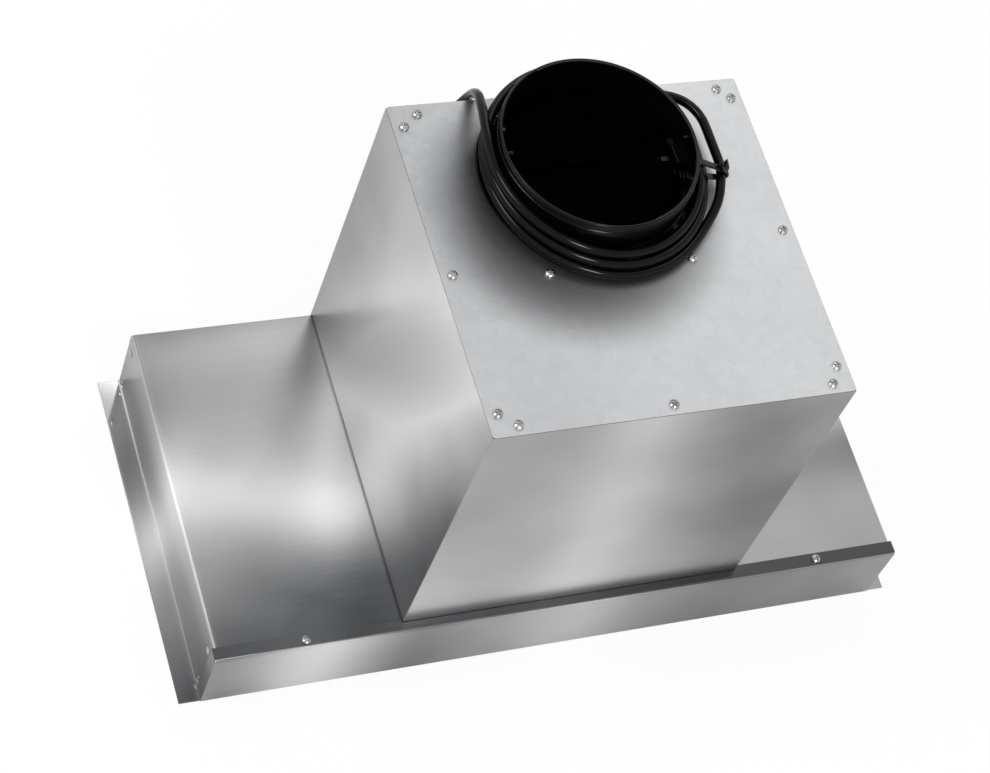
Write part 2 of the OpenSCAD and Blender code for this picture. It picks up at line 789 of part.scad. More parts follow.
module duct_collar() {
    top = body_h + duct_h;
    color("#181818") difference() {
        union() {
            translate([duct_x, duct_y, 0]) rotate_extrude($fn = round_fn) {
                translate([duct_in, body_h]) square([duct_wall, duct_h]);
                // A small step marks how far the duct slides on
                translate([duct_in, body_h]) square([duct_wall + duct_step, duct_h - grip_h]);
                translate([spigot_r - spigot_wall, body_h - spigot_h])
                    square([spigot_wall, spigot_h + collar_flange_t]);
                translate([spigot_r - spigot_wall, body_h])
                    square([duct_in + duct_wall / 2 - spigot_r + spigot_wall, collar_flange_t]);
                translate([duct_in - ledge_w, flap_z - flap_t / 2 - seam_gap - ledge_t])
                    square([ledge_w + duct_wall / 2, ledge_t]);
            }
            // Base flange, cut flush with the rear of the top plate
            intersection() {
                translate([duct_x, duct_y, body_h]) difference() {
                    cylinder(h = collar_flange_t, r = collar_flange_r, $fn = round_fn);
                    translate([0, 0, -over])
                        cylinder(h = collar_flange_t + 2 * over, r = duct_in + duct_wall / 2,
                            $fn = round_fn);
                }
                block([box_l, box_front, body_h - over], [box_r, back_y, body_h + duct_h]);
            }
            // Thicker band along part of the rim
            translate([duct_x, duct_y, body_h + duct_h - rim_h]) rotate([0, 0, rim_from])
                rotate_extrude(angle = rim_sweep, $fn = round_fn)
                    translate([duct_in - rim_step, 0]) square([rim_step + duct_wall / 2, rim_h]);
            for (s = [-1, 1]) {
                // Pivot lug with a hole for each flap's pin
                intersection() {
                    translate([duct_x + s * (duct_in - lug_len / 2), duct_y, flap_z + (lug_rise - lug_drop) / 2])
                        cube([lug_len + 2 * duct_wall, lug_w, lug_rise + lug_drop], center = true);
                    translate([duct_x, duct_y, body_h])
                        cylinder(h = duct_h, r = duct_r - duct_wall / 2, $fn = round_fn);
                }
                peg(s > 0 ? 0 : 180, peg_len, duct_h - peg_down);
            }
            for (a = stop_peg_angles)
                peg(a, stop_peg_len, duct_h - peg_down);
        }
        for (y = [-flap_axis_y, flap_axis_y])
            translate([duct_x - duct_in - duct_wall / 2, duct_y + y, flap_z]) rotate([0, 90, 0])
                cylinder(h = 2 * duct_in + duct_wall, r = flap_pin_r + flap_pin_gap, $fn = round_fn);
        holes_at(collar_rivets_at, rivet_hole_r, body_h - over, body_h + collar_flange_t + over);
    }
}

module peg(a, len, z) {
    translate([duct_x, duct_y, body_h + z]) rotate([0, 0, a])
        translate([duct_in - len, 0, 0]) rotate([0, 90, 0])
            cylinder(h = len + duct_wall / 2, r = peg_r, $fn = small_fn);
}

module flap(s) {
    reach = duct_in - flap_gap;
    barrel = duct_in - lug_len - duct_wall - flap_gap;
    translate([duct_x, duct_y, flap_z]) {
        difference() {
            translate([0, 0, -flap_t / 2]) cylinder(h = flap_t, r = reach, $fn = round_fn);
            translate([-duct_dia / 2, s > 0 ? -duct_dia + flap_axis_y : -flap_axis_y, -flap_t])
                cube([duct_dia, duct_dia, 2 * flap_t]);
            for (x = [-1, 1])
                translate([x * duct_in, s * lug_w / 2, 0])
                    cube([2 * (duct_in - barrel), lug_w + 2 * flap_gap, 2 * flap_t], center = true);
        }
        translate([-barrel, s * flap_axis_y, 0]) rotate([0, 90, 0])
            cylinder(h = 2 * barrel, r = flap_barrel_r, $fn = small_fn);
        translate([-barrel - flap_pin_len, s * flap_axis_y, 0]) rotate([0, 90, 0])
            cylinder(h = 2 * (barrel + flap_pin_len), r = flap_pin_r, $fn = round_fn);
    }
}

module front_flap() {
    color("#202020") flap(-1);
}

module rear_flap() {
    color("#202020") flap(1);
}

module collar_rivets() {
    color("silver") for (p = collar_rivets_at)
        translate([p[0], p[1], body_h + collar_flange_t]) rivet(collar_flange_t + 2 * sheet_t);
}

// Blower
function spiral_at(a) =
    let (r = tongue_r + (outlet_rear - tongue_r) * (a - tongue_angle) / (outlet_angle - tongue_angle))
    [wheel_y - r * sin(a), wheel_z + r * cos(a)];
blower_screw_pitch = 111;
blower_screw_shift = 3.3;
blower_screw_in = 13.2;
blower_screw_x = duct_x + blower_screw_shift;
blower_screws_at = [for (s = [-1, 1])
    [blower_screw_x + s * blower_screw_pitch / 2, spiral_at(tongue_angle)[0] - blower_screw_in]];
scroll_path = concat([[spiral_at(tongue_angle)[0], outlet_top]],
    [for (i = [0 : scroll_steps]) spiral_at(mix(tongue_angle, outlet_angle, i / scroll_steps))],
    [[wheel_y + outlet_rear, outlet_top]]);

module across(x0, x1) {
    translate([x0, 0, 0]) rotate([90, 0, 90]) linear_extrude(x1 - x0) children();
}

module scroll_wrap() {
    color("darkgray") across(duct_x - scroll_w / 2, duct_x + scroll_w / 2)
        polygon(strip(scroll_path, scroll_t));
}

module scroll_plate(s) {
    x0 = duct_x + s * (scroll_w / 2 + scroll_t / 2) - scroll_t / 2;
    outline = [for (i = [0 : len(scroll_path) - 1])
        scroll_path[i] - miter(scroll_path, i) * -scroll_t / 2];
    ring_x = duct_x + s * (scroll_w / 2 - inlet_ring_len / 2);
    difference() {
        union() {
            across(x0, x0 + scroll_t) polygon(outline);
            translate([ring_x, wheel_y, wheel_z]) rotate([0, 90, 0])
                cylinder(h = inlet_ring_len, r = inlet_r + inlet_ring_t, center = true, $fn = round_fn);
        }
        translate([duct_x + s * scroll_w / 2, wheel_y, wheel_z]) rotate([0, 90, 0])
            cylinder(h = 4 * inlet_ring_len, r = inlet_r, center = true, $fn = round_fn);
    }
}

module scroll_left_plate() {
    color("darkgray") difference() {
        scroll_plate(-1);
        for (a = bracket_angles)
            bracket_spot(a) cylinder(h = 4 * grommet_h, r = hole_r, center = true, $fn = small_fn);
    }
}

module scroll_right_plate() {
    color("darkgray") scroll_plate(1);
}

module outlet_flange() {
    x0 = duct_x - scroll_w / 2;
    x1 = duct_x + scroll_w / 2;
    y0 = spiral_at(tongue_angle)[0] + scroll_t / 2;
    y1 = wheel_y + outlet_rear - scroll_t / 2;
    color("darkgray") difference() {
        block([x0 - scroll_t - flange_side, y0 - flange_front, outlet_top],
            [x1 + scroll_t + flange_side, y1 + flange_rear, plate_under]);
        block([x0, y0, outlet_top - over], [x1, y1, plate_under + over]);
        holes_at(blower_screws_at, hole_r, outlet_top - over, plate_under + over);
    }
}

module at_wheel() {
    translate([duct_x, wheel_y, wheel_z]) rotate([90, 0, 90]) children();
}

module impeller() {
    color("gray") at_wheel() difference() {
        union() {
            for (s = [-1, 1])
                translate([0, 0, s * (wheel_w / 2 - end_ring_t / 2)]) difference() {
                    cylinder(h = end_ring_t, r = wheel_r, center = true, $fn = round_fn);
                    cylinder(h = 2 * end_ring_t, r = wheel_r - end_ring_w, center = true,
                        $fn = round_fn);
                }
            cylinder(h = wheel_disc_t, r = wheel_r, center = true, $fn = round_fn);
            cylinder(h = hub_len, r = hub_r, center = true, $fn = round_fn);
            translate([0, 0, end_ring_t / 2 - wheel_w / 2]) linear_extrude(wheel_w - end_ring_t)
                for (i = [0 : blade_count - 1])
                    rotate(360 * i / blade_count) translate([blade_in, 0]) rotate(blade_tilt)
                        square([(wheel_r - blade_in) * blade_share, blade_t]);
        }
        cylinder(h = 2 * hub_len, r = shaft_r, center = true, $fn = round_fn);
    }
}

module motor_shaft() {
    color("lightgray") at_wheel() translate([0, 0, -hub_len / 2 - motor_step])
        cylinder(h = hub_len + 2 * motor_step, r = shaft_r, $fn = round_fn);
}

motor_z0 = -scroll_w / 2 - motor_out;
motor_z1 = -scroll_w / 2 + motor_in;

module motor() {
    color("slategray") at_wheel() difference() {
        union() {
            translate([0, 0, motor_z0 + motor_step])
                cylinder(h = motor_z1 - motor_z0 - 2 * motor_step, r = motor_r, $fn = round_fn);
            translate([0, 0, motor_z0])
                cylinder(h = motor_step, r1 = motor_r * motor_end_share,
                    r2 = motor_r * motor_edge_share, $fn = round_fn);
            translate([0, 0, motor_z1 - motor_step])
                cylinder(h = motor_step, r1 = motor_r * motor_edge_share,
                    r2 = motor_r * motor_end_share, $fn = round_fn);
            cylinder_between(motor_z1, -hub_len / 2 - nose_gap, motor_nose_r);
        }
        translate([0, 0, -hub_len / 2 - motor_step - shaft_end_gap])
            cylinder(h = 2 * motor_step, r = shaft_r + shaft_gap, $fn = round_fn);
    }
}

module cylinder_between(z0, z1, r) {
    translate([0, 0, z0]) cylinder(h = z1 - z0, r = r, $fn = round_fn);
}

bracket_r = inlet_r + bracket_reach;

module bracket_spot(a) {
    translate([duct_x - scroll_w / 2 - scroll_t, wheel_y + bracket_r * cos(a),
        wheel_z + bracket_r * sin(a)]) rotate([0, 90, 0]) children();
}

module motor_bracket() {
    x0 = duct_x - scroll_w / 2 - scroll_t - grommet_h - bracket_t;
    color("silver") difference() {
        union() {
            translate([x0 - bracket_w / 2, wheel_y, wheel_z]) rotate([0, 90, 0])
                cylinder(h = bracket_w / 2 + bracket_t, r = motor_r + bracket_ring, $fn = round_fn);
            for (a = bracket_angles)
                translate([x0, wheel_y, wheel_z]) rotate([a, 0, 0])
                    translate([0, motor_r, -bracket_w / 2])
                        cube([bracket_t, bracket_r + grommet_r + 2 * bracket_t - motor_r, bracket_w]);
        }
        translate([x0 - bracket_w, wheel_y, wheel_z]) rotate([0, 90, 0])
            cylinder(h = 3 * bracket_w, r = motor_r, $fn = round_fn);
        for (a = bracket_angles)
            bracket_spot(a) cylinder(h = 4 * grommet_h, r = hole_r, center = true, $fn = small_fn);
    }
}

module motor_grommets() {
    color("#303030") for (a = bracket_angles)
        bracket_spot(a) translate([0, 0, -grommet_h]) difference() {
            cylinder(h = grommet_h, r = grommet_r, $fn = round_fn);
            translate([0, 0, -over]) cylinder(h = grommet_h + 2 * over, r = hole_r, $fn = small_fn);
        }
}

module motor_screws() {
    color("gainsboro") for (a = bracket_angles)
        bracket_spot(a) translate([0, 0, -grommet_h - bracket_t]) rotate([180, 0, 0])
            pan_screw([0, 0], under_screw_len, 0);
}

capacitor_x = box_r - sheet_t - clamp_foot - capacitor_r;

module capacitor() {
    color("white") translate([capacitor_x, capacitor_y, capacitor_z]) {
        cylinder(h = capacitor_h, r = capacitor_r, $fn = round_fn);
        for (s = [-1, 1])
            translate([s * capacitor_r / 2, 0, capacitor_h])
                cylinder(h = clamp_foot / 2, r = shaft_r / 2, $fn = small_fn);
    }
}

module capacitor_clamp() {
    mid = capacitor_z + capacitor_h / 2;
    color("silver") difference() {
        union() {
            translate([capacitor_x, capacitor_y, mid - clamp_w / 2])
                cylinder(h = clamp_w, r = capacitor_r + clamp_t, $fn = round_fn);
            block([capacitor_x, capacitor_y - clamp_foot / 2, mid - clamp_w / 2],
                [box_r - sheet_t, capacitor_y + clamp_foot / 2, mid + clamp_w / 2]);
            block([box_r - sheet_t - clamp_t, capacitor_y - 2 * clamp_foot, mid - clamp_w / 2],
                [box_r - sheet_t, capacitor_y + 2 * clamp_foot, mid + clamp_w / 2]);
        }
        translate([capacitor_x, capacitor_y, mid - clamp_w])
            cylinder(h = 2 * clamp_w, r = capacitor_r + capacitor_gap, $fn = round_fn);
    }
}

module terminal_box() {
    y1 = back_y - sheet_t;
    y0 = y1 - terminal_d;
    color("silver") difference() {
        block([terminal_x, y0, terminal_z], [terminal_x + terminal_w, y1, terminal_z + terminal_h]);
        block([terminal_x + terminal_t, y0 - over, terminal_z + terminal_t],
            [terminal_x + terminal_w - terminal_t, y1 - terminal_t, terminal_z + terminal_h - terminal_t]);
        translate([gland_x, y1 - terminal_t - over, gland_z]) rotate([-90, 0, 0])
            cylinder(h = terminal_t + 2 * over, r = gland_neck_r + gland_neck_gap, $fn = round_fn);
    }
}

module terminal_cover() {
    y0 = back_y - sheet_t - terminal_d;
    color("gainsboro") block([terminal_x, y0 - terminal_t, terminal_z],
        [terminal_x + terminal_w, y0, terminal_z + terminal_h]);
}

module terminal_block() {
    x0 = terminal_x + terminal_t;
    z0 = terminal_z + terminal_t;
    y0 = back_y - sheet_t - terminal_d / 2 - block_d / 2;
    color("ivory") {
        block([x0, y0, z0], [x0 + block_w, y0 + block_d, z0 + block_h]);
        for (i = [0 : block_ways - 1])
            translate([x0 + block_w * (i + 0.5) / block_ways, y0 + block_d / 2, z0 + block_h])
                cylinder(h = block_screw_h, r = block_screw_r, $fn = small_fn);
    }
}

// Filters, drawn at the origin of the left or right filter
module at_filter(s) {
    translate([s * filter_pitch / 2, filter_y, panel_z]) children();
}

module filter_frame() {
    w = filter_w / 2;
    d = filter_d / 2;
    slot_y = -d + latch_pull_back;
    difference() {
        union() {
            block([-w, -d, 0], [w, d, filter_t]);
            // Hooks that rest on the underside panel behind the filter
            for (s = [-1, 1])
                translate([s * tongue_x - tongue_w / 2, d - frame_t, sheet_t + latch_gap])
                    cube([tongue_w, frame_t + filter_gap + tongue_reach, hook_t]);
        }
        block([frame_t - w, frame_t - d, frame_t], [w - frame_t, d - frame_t, filter_t - frame_t]);
        block([frame_lip - w, frame_front_lip - d, -over], [w - frame_lip, d - frame_lip, filter_t + over]);
        // Window for the latch and slot for its pull
        block([-latch_tongue_w / 2 - latch_slot_gap, -d - over, sheet_t + latch_gap / 2],
            [latch_tongue_w / 2 + latch_slot_gap, 2 * frame_t - d, sheet_t + latch_t + 2 * latch_gap]);
        block([-latch_pull_w / 2 - latch_slot_gap, slot_y - latch_slot_gap, -over],
            [latch_pull_w / 2 + latch_slot_gap, slot_y + latch_t + latch_travel + latch_slot_gap,
            2 * frame_t]);
    }
}

module filter_latch() {
    d = filter_d / 2;
    z0 = sheet_t + latch_gap;
    block([-latch_w / 2, frame_t + latch_gap - d, z0], [latch_w / 2, latch_d + frame_t - d + 2 * latch_t, z0 + latch_t]);
    block([-latch_tongue_w / 2, -d - filter_gap - latch_reach, z0],
        [latch_tongue_w / 2, latch_d - d, z0 + latch_t]);
    block([-latch_pull_w / 2, latch_pull_back - d, -latch_pull_h],
        [latch_pull_w / 2, latch_pull_back + latch_t - d, z0 + latch_t]);
}

baffle_w = baffle_pitch * baffle_w_share;
baffle_h = (filter_t - 2 * frame_t) * baffle_h_share;
baffle_count = floor((filter_w - 2 * frame_t - baffle_w) / baffle_pitch) + 1;

module baffle(x, z, up) {
    len = filter_d - 2 * frame_t;
    translate([x, -len / 2, z]) difference() {
        translate([-baffle_w / 2, 0, 0]) cube([baffle_w, len, baffle_h]);
        translate([baffle_t - baffle_w / 2, -over, up > 0 ? baffle_t : -over])
            cube([baffle_w - 2 * baffle_t, len + 2 * over, baffle_h - baffle_t + over]);
    }
}

// Each baffle is cut short of the latch at the front
module baffle_row(count, z, up) {
    d = filter_d / 2;
    difference() {
        for (i = [0 : count - 1])
            baffle((i - (count - 1) / 2) * baffle_pitch, z, up);
        block([-filter_w, -filter_d, -over], [filter_w, frame_front_lip - frame_t - 2 - d, filter_t + over]);
    }
}

module lower_baffles() {
    baffle_row(baffle_count, frame_t, 1);
}

module upper_baffles() {
    baffle_row(baffle_count - 1, filter_t - frame_t - baffle_h, -1);
}

module left_filter_frame() {
    color("silver") at_filter(-1) filter_frame();
}

module left_lower_baffles() {
    color("lightgray") at_filter(-1) lower_baffles();
}

module left_upper_baffles() {
    color("lightgray") at_filter(-1) upper_baffles();
}

module left_filter_latch() {
    color("gainsboro") at_filter(-1) filter_latch();
}

module right_filter_frame() {
    color("silver") at_filter(1) filter_frame();
}

module right_lower_baffles() {
    color("lightgray") at_filter(1) lower_baffles();
}

module right_upper_baffles() {
    color("lightgray") at_filter(1) upper_baffles();
}

module right_filter_latch() {
    color("gainsboro") at_filter(1) filter_latch();
}

// Lamps
module at_lamp(s) {
    translate([s * lamp_x, lamp_y, panel_z]) children();
}

module lamp_trim() {
    rotate_extrude($fn = round_fn) {
        translate([lamp_sleeve_r - lamp_sleeve_t - lamp_lip, -lamp_ring_t])
            square([lamp_r - lamp_sleeve_r + lamp_sleeve_t + lamp_lip, lamp_ring_t]);
        translate([lamp_sleeve_r - lamp_sleeve_t, -lamp_ring_t])
            square([lamp_sleeve_t, lamp_ring_t + lamp_sleeve_h]);
    }
}

module lamp_lens() {
    cylinder(h = lens_t, r = lamp_sleeve_r - lamp_sleeve_t - lens_gap, $fn = round_fn);
}

module lamp_can() {
    translate([0, 0, lamp_sleeve_h]) {
        difference() {
            cylinder(h = can_h, r = lamp_sleeve_r, $fn = round_fn);
            translate([0, 0, -over]) cylinder(h = can_h - can_t + over, r = lamp_sleeve_r - can_t,
                $fn = round_fn);
        }
        for (i = [0 : can_fins - 1]) {
            x = (i - (can_fins - 1) / 2) * 2 * lamp_sleeve_r / (can_fins + 1);
            half = sqrt(lamp_sleeve_r * lamp_sleeve_r - x * x) - can_fin_t;
            translate([x - can_fin_t / 2, -half, can_h - can_t]) cube([can_fin_t, 2 * half, can_fin_h + can_t]);
        }
    }
}

module left_lamp_trim() {
    color("gainsboro") at_lamp(-1) lamp_trim();
}

module left_lamp_lens() {
    color("white") at_lamp(-1) lamp_lens();
}

module left_lamp_can() {
    color("darkgray") at_lamp(-1) lamp_can();
}

module right_lamp_trim() {
    color("gainsboro") at_lamp(1) lamp_trim();
}

module right_lamp_lens() {
    color("white") at_lamp(1) lamp_lens();
}

module right_lamp_can() {
    color("darkgray") at_lamp(1) lamp_can();
}

// Buttons
function button_shift(i) = (i - (button_count - 1) / 2) * button_pitch;

module switch_block() {
    half = plate_w / 2 - block_wall;
    z0 = panel_z + sheet_t;
    color("#282828") difference() {
        block([-half, button_y - switch_d / 2, z0], [half, button_y + switch_d / 2, z0 + switch_h]);
        for (i = [0 : button_count - 1])
            translate([button_shift(i), button_y, z0 - over])
                cylinder(h = pocket_h + over, r = button_r + button_rim + button_gap, $fn = round_fn);
    }
}

module button_plate() {
    color("gainsboro") difference() {
        block([-plate_w / 2, button_y - plate_d / 2, panel_z - plate_t],
            [plate_w / 2, button_y + plate_d / 2, panel_z]);
        for (i = [0 : button_count - 1])
            translate([button_shift(i), button_y, panel_z - plate_t - over])
                cylinder(h = plate_t + 2 * over, r = button_r + button_gap, $fn = round_fn);
    }
}

module button(i) {
    low = panel_z - plate_t - button_proud;
    seat = panel_z + sheet_t + seam_gap;
    translate([button_shift(i), button_y, 0]) difference() {
        union() {
            cylinder_between(low, seat + button_rim_t + button_stem - seam_gap, button_r);
            cylinder_between(seat, seat + button_rim_t, button_r + button_rim);
        }
        translate([0, 0, low - button_dish_r + button_dish_d])
            sphere(r = button_dish_r, $fn = round_fn);
    }
}

module off_button() {
    color("silver") button(0);
}

module low_button() {
    color("silver") button(1);
}

module medium_button() {
    color("silver") button(2);
}

module high_button() {
    color("silver") button(3);
}

module lamp_button() {
    color("silver") button(4);
}

// Mains lead
module cord_gland() {
    y0 = back_y;
    tip = tail_path[0];
    color("#181818") {
        // Neck through the rear panel into the terminal box, and its flange outside
        translate([gland_x, y0 - sheet_t - terminal_t - 2 * seam_gap, gland_z]) rotate([-90, 0, 0])
            cylinder(h = sheet_t + terminal_t + 2 * seam_gap, r = gland_neck_r, $fn = round_fn);
        difference() {
            union() {
                block([gland_x - gland_w / 2, y0, gland_z - gland_h / 2],
                    [gland_x + gland_w / 2, y0 + gland_d, gland_z + gland_h / 2]);
                block([gland_x - sleeve_base_r, y0, gland_z - gland_h / 2],
                    [gland_x + sleeve_base_r, y0 + cord_back, gland_z]);
                translate([gland_x, y0 + cord_back, gland_z - gland_h / 2])
                    cylinder(h = gland_h / 2, r = sleeve_base_r, $fn = round_fn);
                translate([gland_x, y0 + cord_back, gland_z])
                    cylinder(h = tip[2] - gland_z, r1 = sleeve_base_r, r2 = sleeve_tip_r, $fn = round_fn);
            }
            // Nothing reaches into the rear panel
            block([gland_x - gland_w, y0 - gland_w, gland_z - gland_h], [gland_x + gland_w, y0, tip[2] + over]);
        }
    }
}

module cord_tail() {
    n = len(tail_path);
    dirs = [for (i = [0 : n - 1]) i == 0 ? [0, 0, 1] : i == n - 1 ? start_dir : path_dir(tail_path, i)];
    color("#141414") tube(tail_path, cord_r, tail_sides, dirs);
}

module cord_coil() {
    n = len(coil_path);
    dirs = [for (i = [0 : n - 1]) i <= 1 ? start_dir : i == n - 1 ? end_dir : path_dir(coil_path, i)];
    color("#141414") tube(coil_path, cord_r, cord_sides, dirs);
}

// The tie binds the three turns on the right; its section is drawn as [radius, height]
function coil_on(a) =
    let (t = (a - start_angle) / (end_angle - start_angle) * coil_steps, i = floor(t))
    mix(coil_path[i + 1], coil_path[i + 2], t - i);
tie_points = [for (k = [0 : whole_turns]) let (p = coil_on(tie_angle + 360 * k))
    [norm([p[0] - duct_x, p[1] - duct_y]), p[2] - body_h]];
tie_end = tie_points[whole_turns];

module tie_shape(r) {
    hull() for (p = tie_points)
        translate(p) circle(r = r, $fn = 32);
}

module cord_tie() {
    inner = cord_r + tie_gap;
    color("#101010") translate([duct_x, duct_y, body_h]) rotate([0, 0, tie_angle]) rotate([90, 0, 0])
        translate([0, 0, -tie_w / 2]) {
            linear_extrude(tie_w) difference() {
                tie_shape(inner + tie_t);
                tie_shape(inner);
            }
            translate([tie_end[0] - tie_head_w / 2, tie_end[1] + inner + tie_t * tie_seat_share,
                -(tie_head - tie_w) / 2])
                cube([tie_head_w, tie_head_w, tie_head]);
            translate([tie_end[0] - tie_t / 2, tie_end[1] + inner + tie_head_w / 2, 0])
                cube([tie_t, tie_tail, tie_w * tie_tail_share]);
        }
}

module plug() {
    color("#141414") translate(plug_at) rotate([-90, 0, 0]) {
        rotate([-90, 0, 0]) cylinder(h = relief_len, r1 = sleeve_tip_r, r2 = sleeve_base_r,
            $fn = round_fn);
        translate([0, relief_len, 0]) rotate([-90, 0, 0]) hull() {
            for (x = [-1, 1], z = [-1, 1])
                translate([x * (plug_w / 2 - plug_round), z * (plug_h / 2 - plug_round), 0]) {
                    translate([0, 0, plug_round]) cylinder(h = plug_len - plug_round, r = plug_round,
                        $fn = 32);
                    cylinder(h = plug_round, r = plug_round - plug_waist, $fn = 32);
                }
        }
        for (x = [-1, 1])
            translate([x * blade_spread / 2 - blade_thick / 2, relief_len + plug_len - over, -blade_w / 2])
                cube([blade_thick, blade_len + over, blade_w]);
        translate([0, relief_len + plug_len - over, -earth_drop]) rotate([-90, 0, 0])
            cylinder(h = earth_len + over, r = earth_r, $fn = small_fn);
    }
}

left_wing_shell();
right_wing_shell();
front_panel();
rear_panel();
underside_panel();
box_front_panel();
box_rear_panel();
box_left_panel();
box_right_panel();
top_plate();
duct_collar();
front_flap();
rear_flap();
outlet_flange();
scroll_wrap();
scroll_left_plate();
scroll_right_plate();
impeller();
motor_shaft();
motor();
motor_bracket();
motor_grommets();
motor_screws();
capacitor();
capacitor_clamp();
terminal_box();
terminal_cover();
terminal_block();
left_filter_frame();
left_lower_baffles();
left_upper_baffles();
left_filter_latch();
right_filter_frame();
right_lower_baffles();
right_upper_baffles();
right_filter_latch();
left_lamp_trim();
left_lamp_lens();
left_lamp_can();
right_lamp_trim();
right_lamp_lens();
right_lamp_can();
switch_block();
button_plate();
off_button();
low_button();
medium_button();
high_button();
lamp_button();
top_plate_screws();
blower_screws();
lip_screws();
wall_rivets();
collar_rivets();
underside_screws();
cord_gland();
cord_tail();
cord_coil();
cord_tie();
plug();
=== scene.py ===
import math

import bmesh
import bpy
from mathutils import Matrix, Vector


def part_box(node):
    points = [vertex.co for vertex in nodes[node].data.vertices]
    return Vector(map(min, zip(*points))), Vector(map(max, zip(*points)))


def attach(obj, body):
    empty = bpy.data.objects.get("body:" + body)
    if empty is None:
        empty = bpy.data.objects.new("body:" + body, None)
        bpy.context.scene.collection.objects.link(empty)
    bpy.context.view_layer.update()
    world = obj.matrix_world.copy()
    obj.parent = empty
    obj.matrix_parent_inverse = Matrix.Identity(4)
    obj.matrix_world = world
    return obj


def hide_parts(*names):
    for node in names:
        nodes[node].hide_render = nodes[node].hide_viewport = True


# Built-in range hood, standing on its flanges on a white table, seen from above, front left.

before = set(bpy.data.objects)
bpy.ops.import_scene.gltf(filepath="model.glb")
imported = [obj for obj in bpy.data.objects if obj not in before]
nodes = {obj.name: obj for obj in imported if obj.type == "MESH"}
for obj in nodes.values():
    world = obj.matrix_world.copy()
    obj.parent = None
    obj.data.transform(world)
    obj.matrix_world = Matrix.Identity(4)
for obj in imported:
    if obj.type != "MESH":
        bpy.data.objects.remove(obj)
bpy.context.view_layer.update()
mm = 0.001
print("frame loaded:", len(nodes), "nodes")

# Shared places, in metres, read from the frame. The collar takes a 150 mm duct, and its wall
# ends flush with the rear sheet.
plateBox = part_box("top_plate")
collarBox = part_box("duct_collar")
plateTop = plateBox[1][2]
rearFace = plateBox[1][1]
rimTop = collarBox[1][2]
ductRadius = 0.074
ductCentre = Vector(((collarBox[0][0] + collarBox[1][0]) / 2, rearFace - ductRadius, plateTop))
eastward, northward, skyward = Vector((1, 0, 0)), Vector((0, 1, 0)), Vector((0, 0, 1))


# A colour as written in sRGB, turned to the linear values that the shaders take
def linear(hexCode):
    parts = [int(hexCode[i:i + 2], 16) / 255 for i in (1, 3, 5)]
    return [p / 12.92 if p <= 0.04045 else ((p + 0.055) / 1.055) ** 2.4 for p in parts] + [1.0]


# Adds a shader node with its settings and its links or fixed inputs
def addNode(tree, kind, settings=None, inputs=None):
    node = tree.nodes.new(kind)
    for key, value in (settings or {}).items():
        setattr(node, key, value)
    for key, value in (inputs or {}).items():
        if isinstance(value, bpy.types.NodeSocket):
            tree.links.new(value, node.inputs[key])
        else:
            node.inputs[key].default_value = value
    return node


def startMaterial(name):
    material = bpy.data.materials.new(name)
    material.use_nodes = True
    tree = material.node_tree
    tree.nodes.clear()
    coords = addNode(tree, "ShaderNodeTexCoord")
    return material, tree, coords.outputs["Object"]


def endMaterial(tree, shader):
    output = addNode(tree, "ShaderNodeOutputMaterial")
    tree.links.new(shader, output.inputs["Surface"])


# One smooth-shaded piece with sharp creases, on its body, with the nodes it stands for
def meshPiece(name, verts, faces, material, body="hood", slot=None, replaced=(), sharp=35):
    mesh = bpy.data.meshes.new(name)
    mesh.from_pydata([tuple(v) for v in verts], [], faces)
    work = bmesh.new()
    work.from_mesh(mesh)
    bmesh.ops.remove_doubles(work, verts=work.verts, dist=1e-6)
    bmesh.ops.recalc_face_normals(work, faces=work.faces)
    for face in work.faces:
        face.smooth = True
    work.to_mesh(mesh)
    work.free()
    mesh.set_sharp_from_angle(angle=math.radians(sharp))
    piece = bpy.data.objects.new(name, mesh)
    bpy.context.scene.collection.objects.link(piece)
    mesh.materials.append(material)
    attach(piece, body)
    if replaced:
        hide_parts(*replaced)
    return piece


# Turns a closed outline of (radius, height) round a vertical axis, whole or in part
def lathe(outline, centre, segments=144, start=0, sweep=360):
    whole = sweep == 360
    rings = segments if whole else segments + 1
    verts = []
    for i in range(rings):
        turn = math.radians(start + sweep * i / segments)
        for radius, height in outline:
            verts.append((centre[0] + radius * math.cos(turn), centre[1] + radius * math.sin(turn),
                centre[2] + height))
    count = len(outline)
    faces = []
    for i in range(segments):
        following = (i + 1) % rings
        for k in range(count):
            nextK = (k + 1) % count
            faces.append((i * count + k, following * count + k, following * count + nextK,
                i * count + nextK))
    if not whole:
        faces.append(tuple(range(count)))
        faces.append(tuple(segments * count + k for k in range(count)))
    return verts, faces


# Joins rings of points, all of one length, into a skin with closed ends
def loft(rings):
    count = len(rings[0])
    verts = [p for ring in rings for p in ring]
    faces = []
    for i in range(len(rings) - 1):
        for k in range(count):
            nextK = (k + 1) % count
            faces.append((i * count + k, i * count + nextK, (i + 1) * count + nextK,
                (i + 1) * count + k))
    faces.append(tuple(range(count)))
    faces.append(tuple((len(rings) - 1) * count + k for k in range(count)))
    return verts, faces


# A ring of points with rounded corners; power 2 is an ellipse, higher is squarer
def squareRing(at, across, upward, halfWidth, halfHeight, power=4.0, count=40):
    points = []
    for k in range(count):
        turn = 2 * math.pi * k / count
        c, s = math.cos(turn), math.sin(turn)
        x = halfWidth * math.copysign(abs(c) ** (2 / power), c)
        y = halfHeight * math.copysign(abs(s) ** (2 / power), s)
        points.append(at + across * x + upward * y)
    return points


def joinParts(*parts):
    verts, faces = [], []
    for partVerts, partFaces in parts:
        offset = len(verts)
        verts += [tuple(v) for v in partVerts]
        faces += [tuple(i + offset for i in face) for face in partFaces]
    return verts, faces
